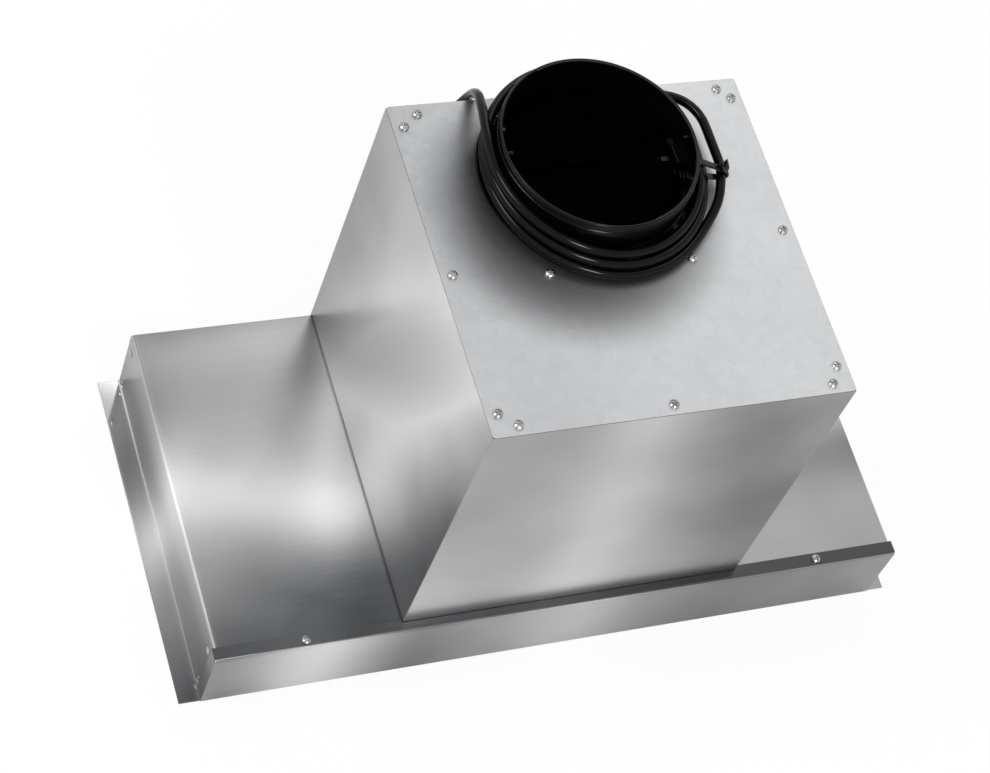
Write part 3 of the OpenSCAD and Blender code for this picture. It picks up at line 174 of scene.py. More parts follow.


# Brushed stainless steel, satin, rolled and brushed along its length: soft long streaks, and
# broad bright and dark bands of painted light and shade. The real grit lines are about
# 0.05 mm apart; they are drawn 0.6 mm wide so that they show. Lengths are in millimetres.
brushedSteel = {
    "dark": "#595a5c", "light": "#f5f5f5",
    "streakLength": 80, "streakWidth": 0.6, "streakTone": 0.022,
    "cloudScale": 9, "cloudTone": 0.06,
    "roughLow": 0.29, "roughHigh": 0.33, "filmedRough": 0.07,
    "edge": 0.5, "bump": 0.06, "bumpDepth": 0.02,
}


# Each band is a soft ridge of painted light, painted shade where its strength is below zero:
# direction, place along it and width in metres, strength
def makeBrushedSteel(name, grain, level, bands=(), light=None, brightBelow=None, rough=None):
    material, tree, coords = startMaterial(name)
    spec = brushedSteel
    long, fine = 1 / (spec["streakLength"] * mm), 1 / (spec["streakWidth"] * mm)
    scale = [long if axis == grain else fine for axis in "xyz"]
    streakCoords = addNode(tree, "ShaderNodeMapping", None, {"Vector": coords, "Scale": scale})
    streak = addNode(tree, "ShaderNodeTexNoise", None, {"Vector": streakCoords.outputs[0],
        "Scale": 1.0, "Detail": 4.0, "Roughness": 0.6})
    cloud = addNode(tree, "ShaderNodeTexNoise", None, {"Vector": coords,
        "Scale": spec["cloudScale"], "Detail": 2.0, "Roughness": 0.5})
    total = addNode(tree, "ShaderNodeMapRange", None, {"Value": cloud.outputs[0],
        "From Min": 0.3, "From Max": 0.7, "To Min": level - spec["cloudTone"],
        "To Max": level + spec["cloudTone"]}).outputs[0]
    for direction, place, width, strength in bands:
        along = addNode(tree, "ShaderNodeVectorMath", {"operation": "DOT_PRODUCT"},
            {0: coords, 1: direction})
        shift = addNode(tree, "ShaderNodeMath", {"operation": "SUBTRACT"},
            {0: along.outputs["Value"], 1: place})
        ratio = addNode(tree, "ShaderNodeMath", {"operation": "DIVIDE"},
            {0: shift.outputs[0], 1: width})
        square = addNode(tree, "ShaderNodeMath", {"operation": "MULTIPLY"},
            {0: ratio.outputs[0], 1: ratio.outputs[0]})
        minus = addNode(tree, "ShaderNodeMath", {"operation": "MULTIPLY"},
            {0: square.outputs[0], 1: -1.0})
        ridge = addNode(tree, "ShaderNodeMath", {"operation": "EXPONENT"}, {0: minus.outputs[0]})
        total = addNode(tree, "ShaderNodeMath", {"operation": "MULTIPLY_ADD"},
            {0: ridge.outputs[0], 1: strength, 2: total}).outputs[0]
    streaky = addNode(tree, "ShaderNodeMapRange", None, {"Value": streak.outputs[0],
        "From Min": 0.25, "From Max": 0.75, "To Min": -spec["streakTone"],
        "To Max": spec["streakTone"]})
    summed = addNode(tree, "ShaderNodeMath", {"operation": "ADD", "use_clamp": True},
        {0: total, 1: streaky.outputs[0]})
    colour = addNode(tree, "ShaderNodeMix", {"data_type": "RGBA"}, {0: summed.outputs[0],
        6: linear(spec["dark"]), 7: linear(light or spec["light"])})
    low, high = rough or (spec["roughLow"], spec["roughHigh"])
    roughness = addNode(tree, "ShaderNodeMapRange", None, {"Value": streak.outputs[0],
        "From Min": 0.25, "From Max": 0.75, "To Min": low, "To Max": high}).outputs[0]
    if brightBelow is not None:
        # The flange has kept its bright finish under the film that was on it
        split = addNode(tree, "ShaderNodeSeparateXYZ", None, {0: coords})
        under = addNode(tree, "ShaderNodeMath", {"operation": "LESS_THAN"},
            {0: split.outputs["Z"], 1: brightBelow})
        roughness = addNode(tree, "ShaderNodeMix", {"data_type": "FLOAT"},
            {0: under.outputs[0], 2: roughness, 3: spec["filmedRough"]}).outputs[0]
    rounded = addNode(tree, "ShaderNodeBevel", {"samples": 4}, {"Radius": spec["edge"] * mm})
    bump = addNode(tree, "ShaderNodeBump", None, {"Height": streak.outputs[0],
        "Strength": spec["bump"], "Distance": spec["bumpDepth"] * mm,
        "Normal": rounded.outputs[0]})
    surface = addNode(tree, "ShaderNodeBsdfPrincipled", None, {"Base Color": colour.outputs[2],
        "Metallic": 1.0, "Roughness": roughness, "Normal": bump.outputs[0]})
    endMaterial(tree, surface.outputs[0])
    return material


# Hot-dip galvanised sheet, skin-passed: a matte light grey with faint spangle about 7 mm across
galvanised = {
    "spangle": 7, "spangleLow": 0.5, "spangleHigh": 0.56,
    "grain": 0.8, "grainTone": 0.07, "cloudScale": 11, "cloudTone": 0.05,
    "roughLow": 0.4, "roughHigh": 0.48, "shadeColour": "#232425", "edgeShadeColour": "#4c4d4e",
    "edge": 0.5, "bump": 0.12, "bumpDepth": 0.02,
}


def makeGalvanised(name, dark, light, edgeShadeBelow=None, slope=None, shade=None):
    material, tree, coords = startMaterial(name)
    spec = galvanised
    cells = addNode(tree, "ShaderNodeTexVoronoi", {"feature": "F1"}, {"Vector": coords,
        "Scale": 1 / (spec["spangle"] * mm), "Randomness": 1.0})
    cellTone = addNode(tree, "ShaderNodeSeparateColor", None, {0: cells.outputs["Color"]})
    grain = addNode(tree, "ShaderNodeTexNoise", None, {"Vector": coords,
        "Scale": 1 / (spec["grain"] * mm), "Detail": 3.0, "Roughness": 0.7})
    cloud = addNode(tree, "ShaderNodeTexNoise", None, {"Vector": coords,
        "Scale": spec["cloudScale"], "Detail": 2.0})
    spangle = addNode(tree, "ShaderNodeMapRange", None, {"Value": cellTone.outputs[0],
        "To Min": spec["spangleLow"], "To Max": spec["spangleHigh"]})
    grainy = addNode(tree, "ShaderNodeMapRange", None, {"Value": grain.outputs[0],
        "From Min": 0.3, "From Max": 0.7, "To Min": -spec["grainTone"],
        "To Max": spec["grainTone"]})
    cloudy = addNode(tree, "ShaderNodeMapRange", None, {"Value": cloud.outputs[0],
        "From Min": 0.3, "From Max": 0.7, "To Min": -spec["cloudTone"],
        "To Max": spec["cloudTone"]})
    partly = addNode(tree, "ShaderNodeMath", {"operation": "ADD"},
        {0: spangle.outputs[0], 1: grainy.outputs[0]})
    tone = addNode(tree, "ShaderNodeMath", {"operation": "ADD", "use_clamp": True},
        {0: partly.outputs[0], 1: cloudy.outputs[0]}).outputs[0]
    if slope:
        # Painted light: the sheet grows lighter along one direction
        along = addNode(tree, "ShaderNodeVectorMath", {"operation": "DOT_PRODUCT"},
            {0: coords, 1: slope})
        tone = addNode(tree, "ShaderNodeMath", {"operation": "ADD", "use_clamp": True},
            {0: tone, 1: along.outputs["Value"]}).outputs[0]
    tint = addNode(tree, "ShaderNodeMix", {"data_type": "RGBA"},
        {0: tone, 6: linear(dark), 7: linear(light)}).outputs[2]
    if shade:
        # Painted shadow and reflection of the black coil: a soft dark halo on the sheet beside it
        away = addNode(tree, "ShaderNodeVectorMath", {"operation": "DISTANCE"},
            {0: coords, 1: shade["middle"]})
        near = addNode(tree, "ShaderNodeMapRange", {"interpolation_type": "SMOOTHSTEP"},
            {"Value": away.outputs["Value"], "From Min": shade["full"],
            "From Max": shade["none"], "To Min": shade["depth"], "To Max": 0.0})
        tint = addNode(tree, "ShaderNodeMix", {"data_type": "RGBA"}, {0: near.outputs[0],
            6: tint, 7: linear(spec["shadeColour"])}).outputs[2]
    if edgeShadeBelow is not None:
        # Painted shade: the sheet's side edge is painted dark, like the shadow gap under the plate
        split = addNode(tree, "ShaderNodeSeparateXYZ", None, {0: coords})
        under = addNode(tree, "ShaderNodeMath", {"operation": "LESS_THAN"},
            {0: split.outputs["Z"], 1: edgeShadeBelow})
        tint = addNode(tree, "ShaderNodeMix", {"data_type": "RGBA"}, {0: under.outputs[0],
            6: tint, 7: linear(spec["edgeShadeColour"])}).outputs[2]
    roughness = addNode(tree, "ShaderNodeMapRange", None, {"Value": grain.outputs[0],
        "From Min": 0.3, "From Max": 0.7, "To Min": spec["roughLow"], "To Max": spec["roughHigh"]})
    rounded = addNode(tree, "ShaderNodeBevel", {"samples": 4}, {"Radius": spec["edge"] * mm})
    bump = addNode(tree, "ShaderNodeBump", None, {"Height": grain.outputs[0],
        "Strength": spec["bump"], "Distance": spec["bumpDepth"] * mm,
        "Normal": rounded.outputs[0]})
    surface = addNode(tree, "ShaderNodeBsdfPrincipled", None, {"Base Color": tint,
        "Metallic": 1.0, "Roughness": roughness.outputs[0], "Normal": bump.outputs[0]})
    endMaterial(tree, surface.outputs[0])
    return material


# How many grains wide the soft clouds of makeGrainy are
cloudGrains = 25


# A material of one kind with a fine grain: its colour wanders between two tones, its bump follows
# a noise of the given grain in millimetres, and its roughness follows the clouds
def makeGrainy(name, dark, light, roughLow, roughHigh, grain, metallic=0.0, bump=0.2,
        bumpDepth=0.03, edge=0.0, specular=0.5):
    material, tree, coords = startMaterial(name)
    noise = addNode(tree, "ShaderNodeTexNoise", None, {"Vector": coords,
        "Scale": 1 / (grain * mm), "Detail": 4.0, "Roughness": 0.6})
    cloud = addNode(tree, "ShaderNodeTexNoise", None, {"Vector": coords,
        "Scale": 1 / (grain * cloudGrains * mm), "Detail": 2.0})
    blend = addNode(tree, "ShaderNodeMath", {"operation": "MULTIPLY"},
        {0: noise.outputs[0], 1: cloud.outputs[0]})
    factor = addNode(tree, "ShaderNodeMapRange", None, {"Value": blend.outputs[0],
        "From Min": 0.12, "From Max": 0.38})
    colour = addNode(tree, "ShaderNodeMix", {"data_type": "RGBA"}, {0: factor.outputs[0],
        6: linear(dark), 7: linear(light)})
    roughness = addNode(tree, "ShaderNodeMapRange", None, {"Value": cloud.outputs[0],
        "From Min": 0.3, "From Max": 0.7, "To Min": roughLow, "To Max": roughHigh})
    bumpInputs = {"Height": noise.outputs[0], "Strength": bump, "Distance": bumpDepth * mm}
    if edge:
        bumpInputs["Normal"] = addNode(tree, "ShaderNodeBevel", {"samples": 4},
            {"Radius": edge * mm}).outputs[0]
    bumped = addNode(tree, "ShaderNodeBump", None, bumpInputs)
    surface = addNode(tree, "ShaderNodeBsdfPrincipled", None, {"Base Color": colour.outputs[2],
        "Metallic": metallic, "Roughness": roughness.outputs[0], "Normal": bumped.outputs[0],
        "Specular IOR Level": specular})
    endMaterial(tree, surface.outputs[0])
    return material


# Frosted borosilicate glass: milky, lets light through softly
frostedGlass = {"dark": "#e9edf0", "light": "#fbfcfd", "frost": 0.6, "roughLow": 0.35,
    "roughHigh": 0.5, "bump": 0.2, "bumpDepth": 0.03, "ior": 1.47, "clear": 0.6}


def makeFrostedGlass(name):
    material, tree, coords = startMaterial(name)
    spec = frostedGlass
    noise = addNode(tree, "ShaderNodeTexNoise", None, {"Vector": coords,
        "Scale": 1 / (spec["frost"] * mm), "Detail": 3.0})
    roughness = addNode(tree, "ShaderNodeMapRange", None, {"Value": noise.outputs[0],
        "From Min": 0.3, "From Max": 0.7, "To Min": spec["roughLow"], "To Max": spec["roughHigh"]})
    tint = addNode(tree, "ShaderNodeMix", {"data_type": "RGBA"}, {0: noise.outputs[0],
        6: linear(spec["dark"]), 7: linear(spec["light"])})
    bump = addNode(tree, "ShaderNodeBump", None, {"Height": noise.outputs[0],
        "Strength": spec["bump"], "Distance": spec["bumpDepth"] * mm})
    surface = addNode(tree, "ShaderNodeBsdfPrincipled", None, {"Base Color": tint.outputs[2],
        "Roughness": roughness.outputs[0], "Normal": bump.outputs[0], "IOR": spec["ior"],
        "Transmission Weight": spec["clear"]})
    endMaterial(tree, surface.outputs[0])
    return material


# A bend catches the light along its whole length: a painted highlight, a narrow bright band just
# inside the corner
bendInset = 0.6
wingCorner = (-0.2825, 0, 0.068)
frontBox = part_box("front_panel")


def bendHighlightBand(away, corner, width, strength):
    way = Vector(away).normalized()
    return tuple(way), way.dot(Vector(corner)) - bendInset * mm, width * mm, strength


wingBendHighlight = bendHighlightBand((-1, 0, 1), wingCorner, 0.5, 0.35)
lipBendHighlight = bendHighlightBand((0, -1, 1), (0, frontBox[0][1], frontBox[1][2]), 0.4, 2.6)

# Bands of painted light and shade for the light and dark zones of the photographed sheets. A
# scratch program fitted the first five rows of each list, and the sheets' levels, to the
# photograph's brightness, and a few were then trimmed by eye. The other rows were set one by one.
# The wings' flanges lie below flangeTop. This list's last rows are painted light on the flange and
# on the low wall, and the bend's painted highlight.
flangeTop = 0.0015
leftWingPaintedLight = [
    ((-0.26, 0.97, 0), 0.065, 0.09, 0.55),
    ((0, 1, 0), 0.126, 0.03, 0.18),
    ((0.26, 0.97, 0), -0.073, 0.03, 0.36),
    ((-0.71, 0.71, 0), 0.186, 0.03, -0.11),
    ((0.87, 0.5, 0), -0.224, 0.045, -0.09),
    ((0, -0.02, 1), -0.0011, 0.0012, 0.5),
    ((0, -0.02, 1), -0.0029, 0.0007, 0.3),
    ((-1, 0, 0), 0.2825, 0.003, 0.12),
    wingBendHighlight,
]
rightWingPaintedLight = [
    ((0, 1, 0), 0.036, 0.045, 1.42),
    ((0, 1, 0), -0.045, 0.03, -0.16),
    ((-0.87, 0.5, 0), -0.16, 0.03, -0.26),
    ((0, 1, 0), 0.046, 0.03, -0.72),
    ((0.26, 0.97, 0), 0.069, 0.045, -0.28),
]
# The last rows are painted shade on the lip and a painted highlight on its bend
frontPaintedLight = [
    ((1, 0, 0), -0.201, 0.045, 0.51),
    ((1, 0, 0), 0.012, 0.065, 0.47),
    ((1, 0, 0), 0.066, 0.09, -0.21),
    ((1, 0, 0), -0.121, 0.03, -0.09),
    ((1, 0, 0), 0.092, 0.03, 0.09),
    ((0, 0, 1), 0.0695, 0.0015, -2.0),
    lipBendHighlight,
]
# The last row is a painted highlight: the bright line of the box's left front edge
boxFrontPaintedLight = [
    ((0.97, 0, 0.26), 0.169, 0.065, -0.22),
    ((1, 0, 0), -0.012, 0.045, 0.31),
    ((0.26, 0, 0.97), 0.048, 0.09, 0.22),
    ((-0.97, 0, 0.26), 0.083, 0.045, -0.11),
    ((0.87, 0, 0.5), 0.265, 0.03, 0.07),
    ((1, 0, 0), -0.1433, 0.0006, 0.5),
]
# The last row is painted shade along the seam at the panel's foot
boxLeftPaintedLight = [
    ((0, 0.97, 0.26), 0.059, 0.065, 0.3),
    ((0, 0.87, 0.5), 0.11, 0.045, 0.74),
    ((0, -0.87, 0.5), 0.102, 0.09, 0.16),
    ((0, 0.97, 0.26), 0.013, 0.03, 0.27),
    ((0, 0.5, 0.87), 0.118, 0.045, -0.12),
    ((0, 0, 1), 0.0693, 0.0011, -0.9),
]
# Lit and shaded copies of one steel: each panel's own level and bands are painted light and shade
leftWingSteel = makeBrushedSteel("brushedSteelLeftWing", "x", -0.01, leftWingPaintedLight,
    brightBelow=flangeTop)
rightWingSteel = makeBrushedSteel("brushedSteelRightWing", "x", 0.44, rightWingPaintedLight,
    brightBelow=flangeTop)
frontSteel = makeBrushedSteel("brushedSteelFront", "x", 0.22, frontPaintedLight)
boxFrontSteel = makeBrushedSteel("brushedSteelBoxFront", "x", 0.32, boxFrontPaintedLight)
boxLeftSteel = makeBrushedSteel("brushedSteelBoxLeft", "y", 0.16, boxLeftPaintedLight, light="#ffffff")
boxRightSteel = makeBrushedSteel("brushedSteelBoxRight", "y", 0.4)
undersideSteel = makeBrushedSteel("brushedSteelUnderside", "x", 0.55)
filterSteel = makeBrushedSteel("satinSteelFilter", "y", 0.6, rough=(0.22, 0.3))

# Painted light and shade: the top plate grows lighter to the front right, and a painted shadow and
# reflection of the coil make it darkest beside the coil
topPaintedLightSlope = (1.25, -1.1, 0)
coilPaintedShade = {"middle": (-0.022, 0.04, plateTop), "full": 0.08, "none": 0.125, "depth": 0.62}
topEdgeShadeDepth = 0.3
topZinc = makeGalvanised("galvanisedTop", "#8c8d8f", "#e0e1e2", plateTop - topEdgeShadeDepth * mm,
    topPaintedLightSlope, coilPaintedShade)
innerZinc = makeGalvanised("galvanisedInner", "#a4a6a8", "#d4d5d6")
# Zinc-plated screws: bright, with a faint soft haze
screwZinc = makeGrainy("zincPlatedScrew", "#8f9091", "#c4c4c4", 0.2, 0.32, 0.5,
    metallic=1.0, edge=0.2)
# Zinc-plated pressed steel bracket: duller and bluer than the screws
bracketZinc = makeGrainy("zincPlatedBracket", "#8d9196", "#b5b9bd", 0.35, 0.5, 0.6,
    metallic=1.0, edge=0.4)
# Ground carbon steel shaft: a clean grey shine
shaftSteel = makeGrainy("groundSteelShaft", "#b0b1b3", "#d2d3d4", 0.15, 0.25, 0.3, metallic=1.0)
# Stoved black enamel on the motor, lightly textured
motorEnamel = makeGrainy("stovedEnamelMotor", "#1b1b1d", "#2a2a2d", 0.35, 0.45, 0.7,
    bump=0.4, edge=0.4)
# Injection-moulded ABS, polished mould: deep black gloss with a faint orange peel
collarAbs = makeGrainy("mouldedAbsCollar", "#030303", "#060607", 0.12, 0.18, 2.2,
    bump=0.05, bumpDepth=0.02, specular=0.18)
# Moulded polypropylene flaps: matte, so that the collar's inside stays black
flapPolypropylene = makeGrainy("mouldedPolypropyleneFlap", "#010101", "#030303", 0.88, 0.94, 0.6,
    specular=0.0)
# Extruded PVC jacket: narrow lights, a little uneven along its length
jacketPvc = makeGrainy("extrudedPvcJacket", "#030303", "#060606", 0.11, 0.16, 1.2,
    bump=0.07, specular=0.17)
# Overmoulded soft PVC of the plug: satin
plugPvc = makeGrainy("mouldedPvcPlug", "#050505", "#0a0a0a", 0.34, 0.44, 0.6,
    bump=0.25, specular=0.35)
# Nickel-plated brass blades: bright and slightly warm
bladeBrass = makeGrainy("nickelPlatedBlade", "#b5b3ab", "#dcdad2", 0.18, 0.28, 0.4, metallic=1.0)
# Moulded polyamide tie, glossy where the strap is stretched
tieNylon = makeGrainy("mouldedNylonTie", "#050505", "#0a0a0a", 0.22, 0.3, 0.5, specular=0.35)
# Moulded polyamide gland: a dull black with soft edges
glandNylon = makeGrainy("mouldedNylonGland", "#0b0b0b", "#131314", 0.38, 0.48, 0.5, edge=0.4)
# Vulcanised rubber grommets, dry and matte
grommetRubber = makeGrainy("vulcanisedRubberGrommet", "#0c0c0c", "#161616", 0.7, 0.85, 0.4)
# White moulded polypropylene capacitor case: smooth and slightly waxy
capacitorPlastic = makeGrainy("mouldedPolypropyleneCase", "#d7d7d2", "#e6e6e1", 0.4, 0.5, 0.5,
    bump=0.1)
# Ivory urea-moulded terminal block: hard, with a low shine
terminalUrea = makeGrainy("mouldedUreaTerminal", "#ddd8c8", "#ece8da", 0.35, 0.45, 0.5,
    bump=0.1, edge=0.3)
# Spun and brushed aluminium lamp rings: pale and bright
trimAluminium = makeGrainy("spunAluminiumTrim", "#c3c4c6", "#e6e7e8", 0.2, 0.28, 0.4,
    metallic=1.0, edge=0.3)
# Die-cast aluminium lamp cans: dull with a fine cast grain
canAluminium = makeGrainy("castAluminiumCan", "#8c8e90", "#b3b5b7", 0.45, 0.6, 0.7,
    metallic=1.0, edge=0.3)
lensGlass = makeFrostedGlass("frostedGlassLens")
# Matte moulded ABS switch body
switchAbs = makeGrainy("mouldedAbsSwitch", "#161617", "#222223", 0.5, 0.6, 0.5, edge=0.3)
# Turned and brushed steel buttons: a fine bright grain
buttonSteel = makeGrainy("turnedSteelButton", "#b8b9ba", "#e0e0e1", 0.18, 0.26, 0.3,
    metallic=1.0, edge=0.3)

nodeMaterials = {
    leftWingSteel: ["left_wing_shell"],
    rightWingSteel: ["right_wing_shell"],
    frontSteel: ["front_panel"],
    boxFrontSteel: ["box_front_panel"],
    boxLeftSteel: ["box_left_panel"],
    boxRightSteel: ["box_right_panel"],
    undersideSteel: ["underside_panel", "button_plate"],
    topZinc: ["top_plate"],
    innerZinc: ["rear_panel", "box_rear_panel", "outlet_flange", "scroll_wrap", "scroll_left_plate",
        "scroll_right_plate", "impeller", "terminal_box", "terminal_cover"],
    filterSteel: [side + "_" + part for side in ("left", "right")
        for part in ("filter_frame", "lower_baffles", "upper_baffles", "filter_latch")],
    screwZinc: ["top_plate_screws", "blower_screws", "lip_screws", "wall_rivets", "collar_rivets",
        "underside_screws", "motor_screws"],
    bracketZinc: ["motor_bracket", "capacitor_clamp"],
    shaftSteel: ["motor_shaft"],
    motorEnamel: ["motor"],
    collarAbs: ["duct_collar"],
    flapPolypropylene: ["front_flap", "rear_flap"],
    jacketPvc: ["cord_tail", "cord_coil"],
    plugPvc: ["plug"],
    tieNylon: ["cord_tie"],
    glandNylon: ["cord_gland"],
    grommetRubber: ["motor_grommets"],
    capacitorPlastic: ["capacitor"],
    terminalUrea: ["terminal_block"],
    trimAluminium: ["left_lamp_trim", "right_lamp_trim"],
    canAluminium: ["left_lamp_can", "right_lamp_can"],
    lensGlass: ["left_lamp_lens", "right_lamp_lens"],
    switchAbs: ["switch_block"],
    buttonSteel: [name + "_button" for name in ("off", "low", "medium", "high", "lamp")],
}
for material, names in nodeMaterials.items():
    for name in names:
        piece = nodes[name]
        if piece.material_slots:
            for place in piece.material_slots:
                place.material = material
        else:
            piece.data.materials.append(material)
print("materials on", sum(len(names) for names in nodeMaterials.values()), "nodes")

# The camera stands where the photographer's did: it was solved from the edges of the sheets
cameraSpec = {
    "location": (-0.7949, -0.9496, 1.9025), "forward": (0.3896, 0.4461, -0.8057),
    "up": (0.1136, 0.8449, 0.5227), "lens": 101.64, "sensor": 36,
    "shiftX": -0.1082, "shiftY": -0.0244, "nearest": 0.05, "farthest": 50,
}
forward = Vector(cameraSpec["forward"]).normalized()
right = forward.cross(Vector(cameraSpec["up"])).normalized()
upward = right.cross(forward)
cameraData = bpy.data.cameras.new("camera")
cameraData.lens = cameraSpec["lens"]
cameraData.sensor_width = cameraSpec["sensor"]
cameraData.shift_x = cameraSpec["shiftX"]
cameraData.shift_y = cameraSpec["shiftY"]
cameraData.clip_start = cameraSpec["nearest"]
cameraData.clip_end = cameraSpec["farthest"]
camera = bpy.data.objects.new("camera", cameraData)
turn = Matrix((right, upward, -forward)).transposed().to_4x4()
camera.matrix_world = Matrix.Translation(cameraSpec["location"]) @ turn
bpy.context.scene.collection.objects.link(camera)
bpy.context.scene.camera = camera
print("camera placed")

# The mains lead: free stretch, turns round the collar, and last stretch down to the plug. The
# points of both stretches repeat the part's source. A scratch program worked them out from places
# and bends chosen by eye.
lead = {
    "diameter": 0.0073,
    # Free stretch from the strain relief over the rear edge: each point's distance right of the
    # collar's axis, behind the rear sheet and above the top plate
    "freePoints": [(-0.0835, 0.0075, -0.058), (-0.0832, 0.0076, -0.0484), (-0.08, 0.0081, -0.039),
        (-0.0751, 0.0087, -0.0297), (-0.0707, 0.0086, -0.0202), (-0.0674, 0.0078, -0.0111),
        (-0.0657, 0.0056, -0.0024), (-0.0658, 0.0016, 0.006), (-0.067, -0.004, 0.0132),
        (-0.0687, -0.0111, 0.0192), (-0.0708, -0.0192, 0.0234), (-0.0728, -0.0279, 0.0266),
        (-0.0746, -0.0371, 0.0285), (-0.0763, -0.0464, 0.0294)],
    "startAngle": 172, "endAngle": 1072, "leaveAngle": 1030, "startStep": 2,
    "innerRadius": 0.07905, "outerRadius": 0.101, "pitch": 0.00795, "turnCount": 2.5,
    "fanAngle": 300, "fanTilt": 48, "fanPower": 2, "lift": 0.006,
    "rest": 0.004, "boundHeight": 0.01235, "pointsPerTurn": 24,
    # Last stretch: from the tie behind the collar, over the rear edge and down to the plug
    "endPoints": [(0.1007, -0.0806, 0.0124), (0.1008, -0.0732, 0.0124), (0.1008, -0.0657, 0.0124),
        (0.1008, -0.0583, 0.0124), (0.1008, -0.0508, 0.0124), (0.1003, -0.0434, 0.0124),
        (0.0983, -0.0362, 0.0124), (0.0948, -0.0297, 0.0123), (0.09, -0.024, 0.0117),
        (0.084, -0.0196, 0.0108), (0.0773, -0.0162, 0.0097), (0.0706, -0.013, 0.0086),
        (0.0639, -0.0098, 0.0076), (0.057, -0.0069, 0.0071), (0.05, -0.0043, 0.007),
        (0.0429, -0.002, 0.007), (0.0357, -0.0001, 0.007), (0.0283, 0.0026, 0.0061),
        (0.0213, 0.0048, 0.0036), (0.015, 0.0067, -0.0006), (0.0097, 0.0081, -0.0061),
        (0.0058, 0.0091, -0.0126), (0.0035, 0.0097, -0.0199), (0.0027, 0.00985, -0.027),
        (0.0027, 0.00985, -0.034)],
    "length": 1.632,
}


# Rises softly from 0 to 1
def easeIn(k):
    k = min(max(k, 0), 1)
    return k * k * (3 - 2 * k)


# A point of the turns: they lie stacked behind the collar and fan out, flatter, in front of it
def leadPoint(angle):
    turned = (angle - lead["startAngle"]) / 360
    fan = ((1 + math.cos(math.radians(angle - lead["fanAngle"]))) / 2) ** lead["fanPower"]
    tilt = math.radians(lead["fanTilt"] * fan)
    leave = easeIn((angle - lead["leaveAngle"]) / (lead["endAngle"] - lead["leaveAngle"]))
    radius = lead["innerRadius"] + lead["pitch"] * turned * math.sin(tilt)
    height = lead["rest"] + lead["lift"] * (1 - fan) \
        + lead["pitch"] * (lead["turnCount"] - turned) * math.cos(tilt)
    radius += (lead["outerRadius"] - radius) * leave
    height += (lead["boundHeight"] - height) * leave
    around = math.radians(angle)
    return ductCentre + Vector((radius * math.cos(around), radius * math.sin(around), height))


steps = math.ceil(lead["turnCount"] * lead["pointsPerTurn"])
span = lead["endAngle"] - lead["startAngle"]
turns = [leadPoint(lead["startAngle"] + span * i / steps) for i in range(steps + 1)]
freeStretch, endStretch = [[Vector((ductCentre.x + x, rearFace + y, plateTop + z))
    for x, y, z in lead[key]] for key in ("freePoints", "endPoints")]
startWay = (leadPoint(lead["startAngle"] + lead["startStep"]) - turns[0]).normalized()
route = freeStretch + [turns[0] - lead["diameter"] * startWay] + turns + endStretch


# Rounds the route off between its points, so that no facet shows along the jacket
def roundedRoute(points, parts=5):
    smooth = []
    for i in range(len(points) - 1):
        before, here = points[max(i - 1, 0)], points[i]
        there, after = points[i + 1], points[min(i + 2, len(points) - 1)]
        for k in range(parts):
            t = k / parts
            smooth.append(0.5 * ((2 * here) + (there - before) * t
                + (2 * before - 5 * here + 4 * there - after) * t * t
                + (3 * here - before - 3 * there + after) * t * t * t))
    smooth.append(points[-1])
    return smooth


# A round piece drawn along a row of points, with closed ends
def curvePiece(name, points, radius, material, body="hood", roundness=5):
    curve = bpy.data.curves.new(name, "CURVE")
    curve.dimensions = "3D"
    curve.bevel_depth = radius
    curve.bevel_resolution = roundness
    curve.use_fill_caps = True
    spline = curve.splines.new("POLY")
    spline.points.add(len(points) - 1)
    for place, point in zip(spline.points, points):
        place.co = (*point, 1)
    spline.use_smooth = True
    curve.materials.append(material)
    piece = bpy.data.objects.new(name, curve)
    bpy.context.scene.collection.objects.link(piece)
    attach(piece, body)
    return piece


mainsLead = curvePiece("mainsLead", roundedRoute(route), lead["diameter"] / 2, jacketPvc)
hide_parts("cord_tail", "cord_coil")
print("lead laid,", len(route), "points")


# The plug hangs from the end of the lead behind the box: a ribbed relief, a body with finger
# grips, two flat blades and a round earth pin. Rings are given as distance along in millimetres,
# then shares of the half thickness and half width, then how square they are.
plugSpec = {
    "reliefLength": 22, "reliefThin": 5, "reliefThick": 7, "reliefRibs": 6, "ribGap": 0.7,
    "ribRound": 0.1, "ribRise": 0.3, "ribCrown": 0.5, "ribFall": 1.2, "ribEnd": 0.9,
    "bodyLength": 34, "halfThick": 9.5, "halfWide": 12, "neckRadius": 6, "neckSunk": 0.4,
    "bodyRings": [(0, 0.72, 0.66, 2.6), (2, 0.83, 0.78, 3), (6, 0.9, 0.86, 3.4),
        (14, 0.9, 0.88, 3.8), (22, 0.93, 0.93, 4), (27, 0.99, 0.99, 4.4), (31, 1, 1, 4.6),
        (33.4, 1, 1, 4.6), (34, 0.95, 0.96, 4.6)],
    "gripPlaces": (9, 12, 15, 18), "gripFoot": 0.88, "gripWidth": 6.5, "gripLength": 0.7,
    "gripRings": ((-0.6, 0.8), (0.35, 0.7), (0.55, 0.4)), "gripSquare": 3,
    "bladeLength": 17, "bladeWidth": 6.3, "bladeThick": 1.5, "bladeSpread": 12.7,
    "bladeTip": ((2, 1), (0.6, 0.75), (0, 0.5)), "bladeSquare": 8,
    "earthRadius": 2.4, "earthLength": 19, "earthDrop": 6.5,
    "earthTip": ((3, 1), (1, 0.75), (0.2, 0.35)), "pinSunk": 1,
}
plugFoot = route[-1]
plugWay, plugOut, plugUp = -skyward, northward, eastward


def plugPoint(outward, along, up):
    return plugFoot + (plugOut * outward + plugWay * along + plugUp * up) * mm


def plugRing(along, halfOut, halfUp, power):
    at = plugPoint(0, along, 0)
    return squareRing(at, plugOut, plugUp, halfOut * mm, halfUp * mm, power)


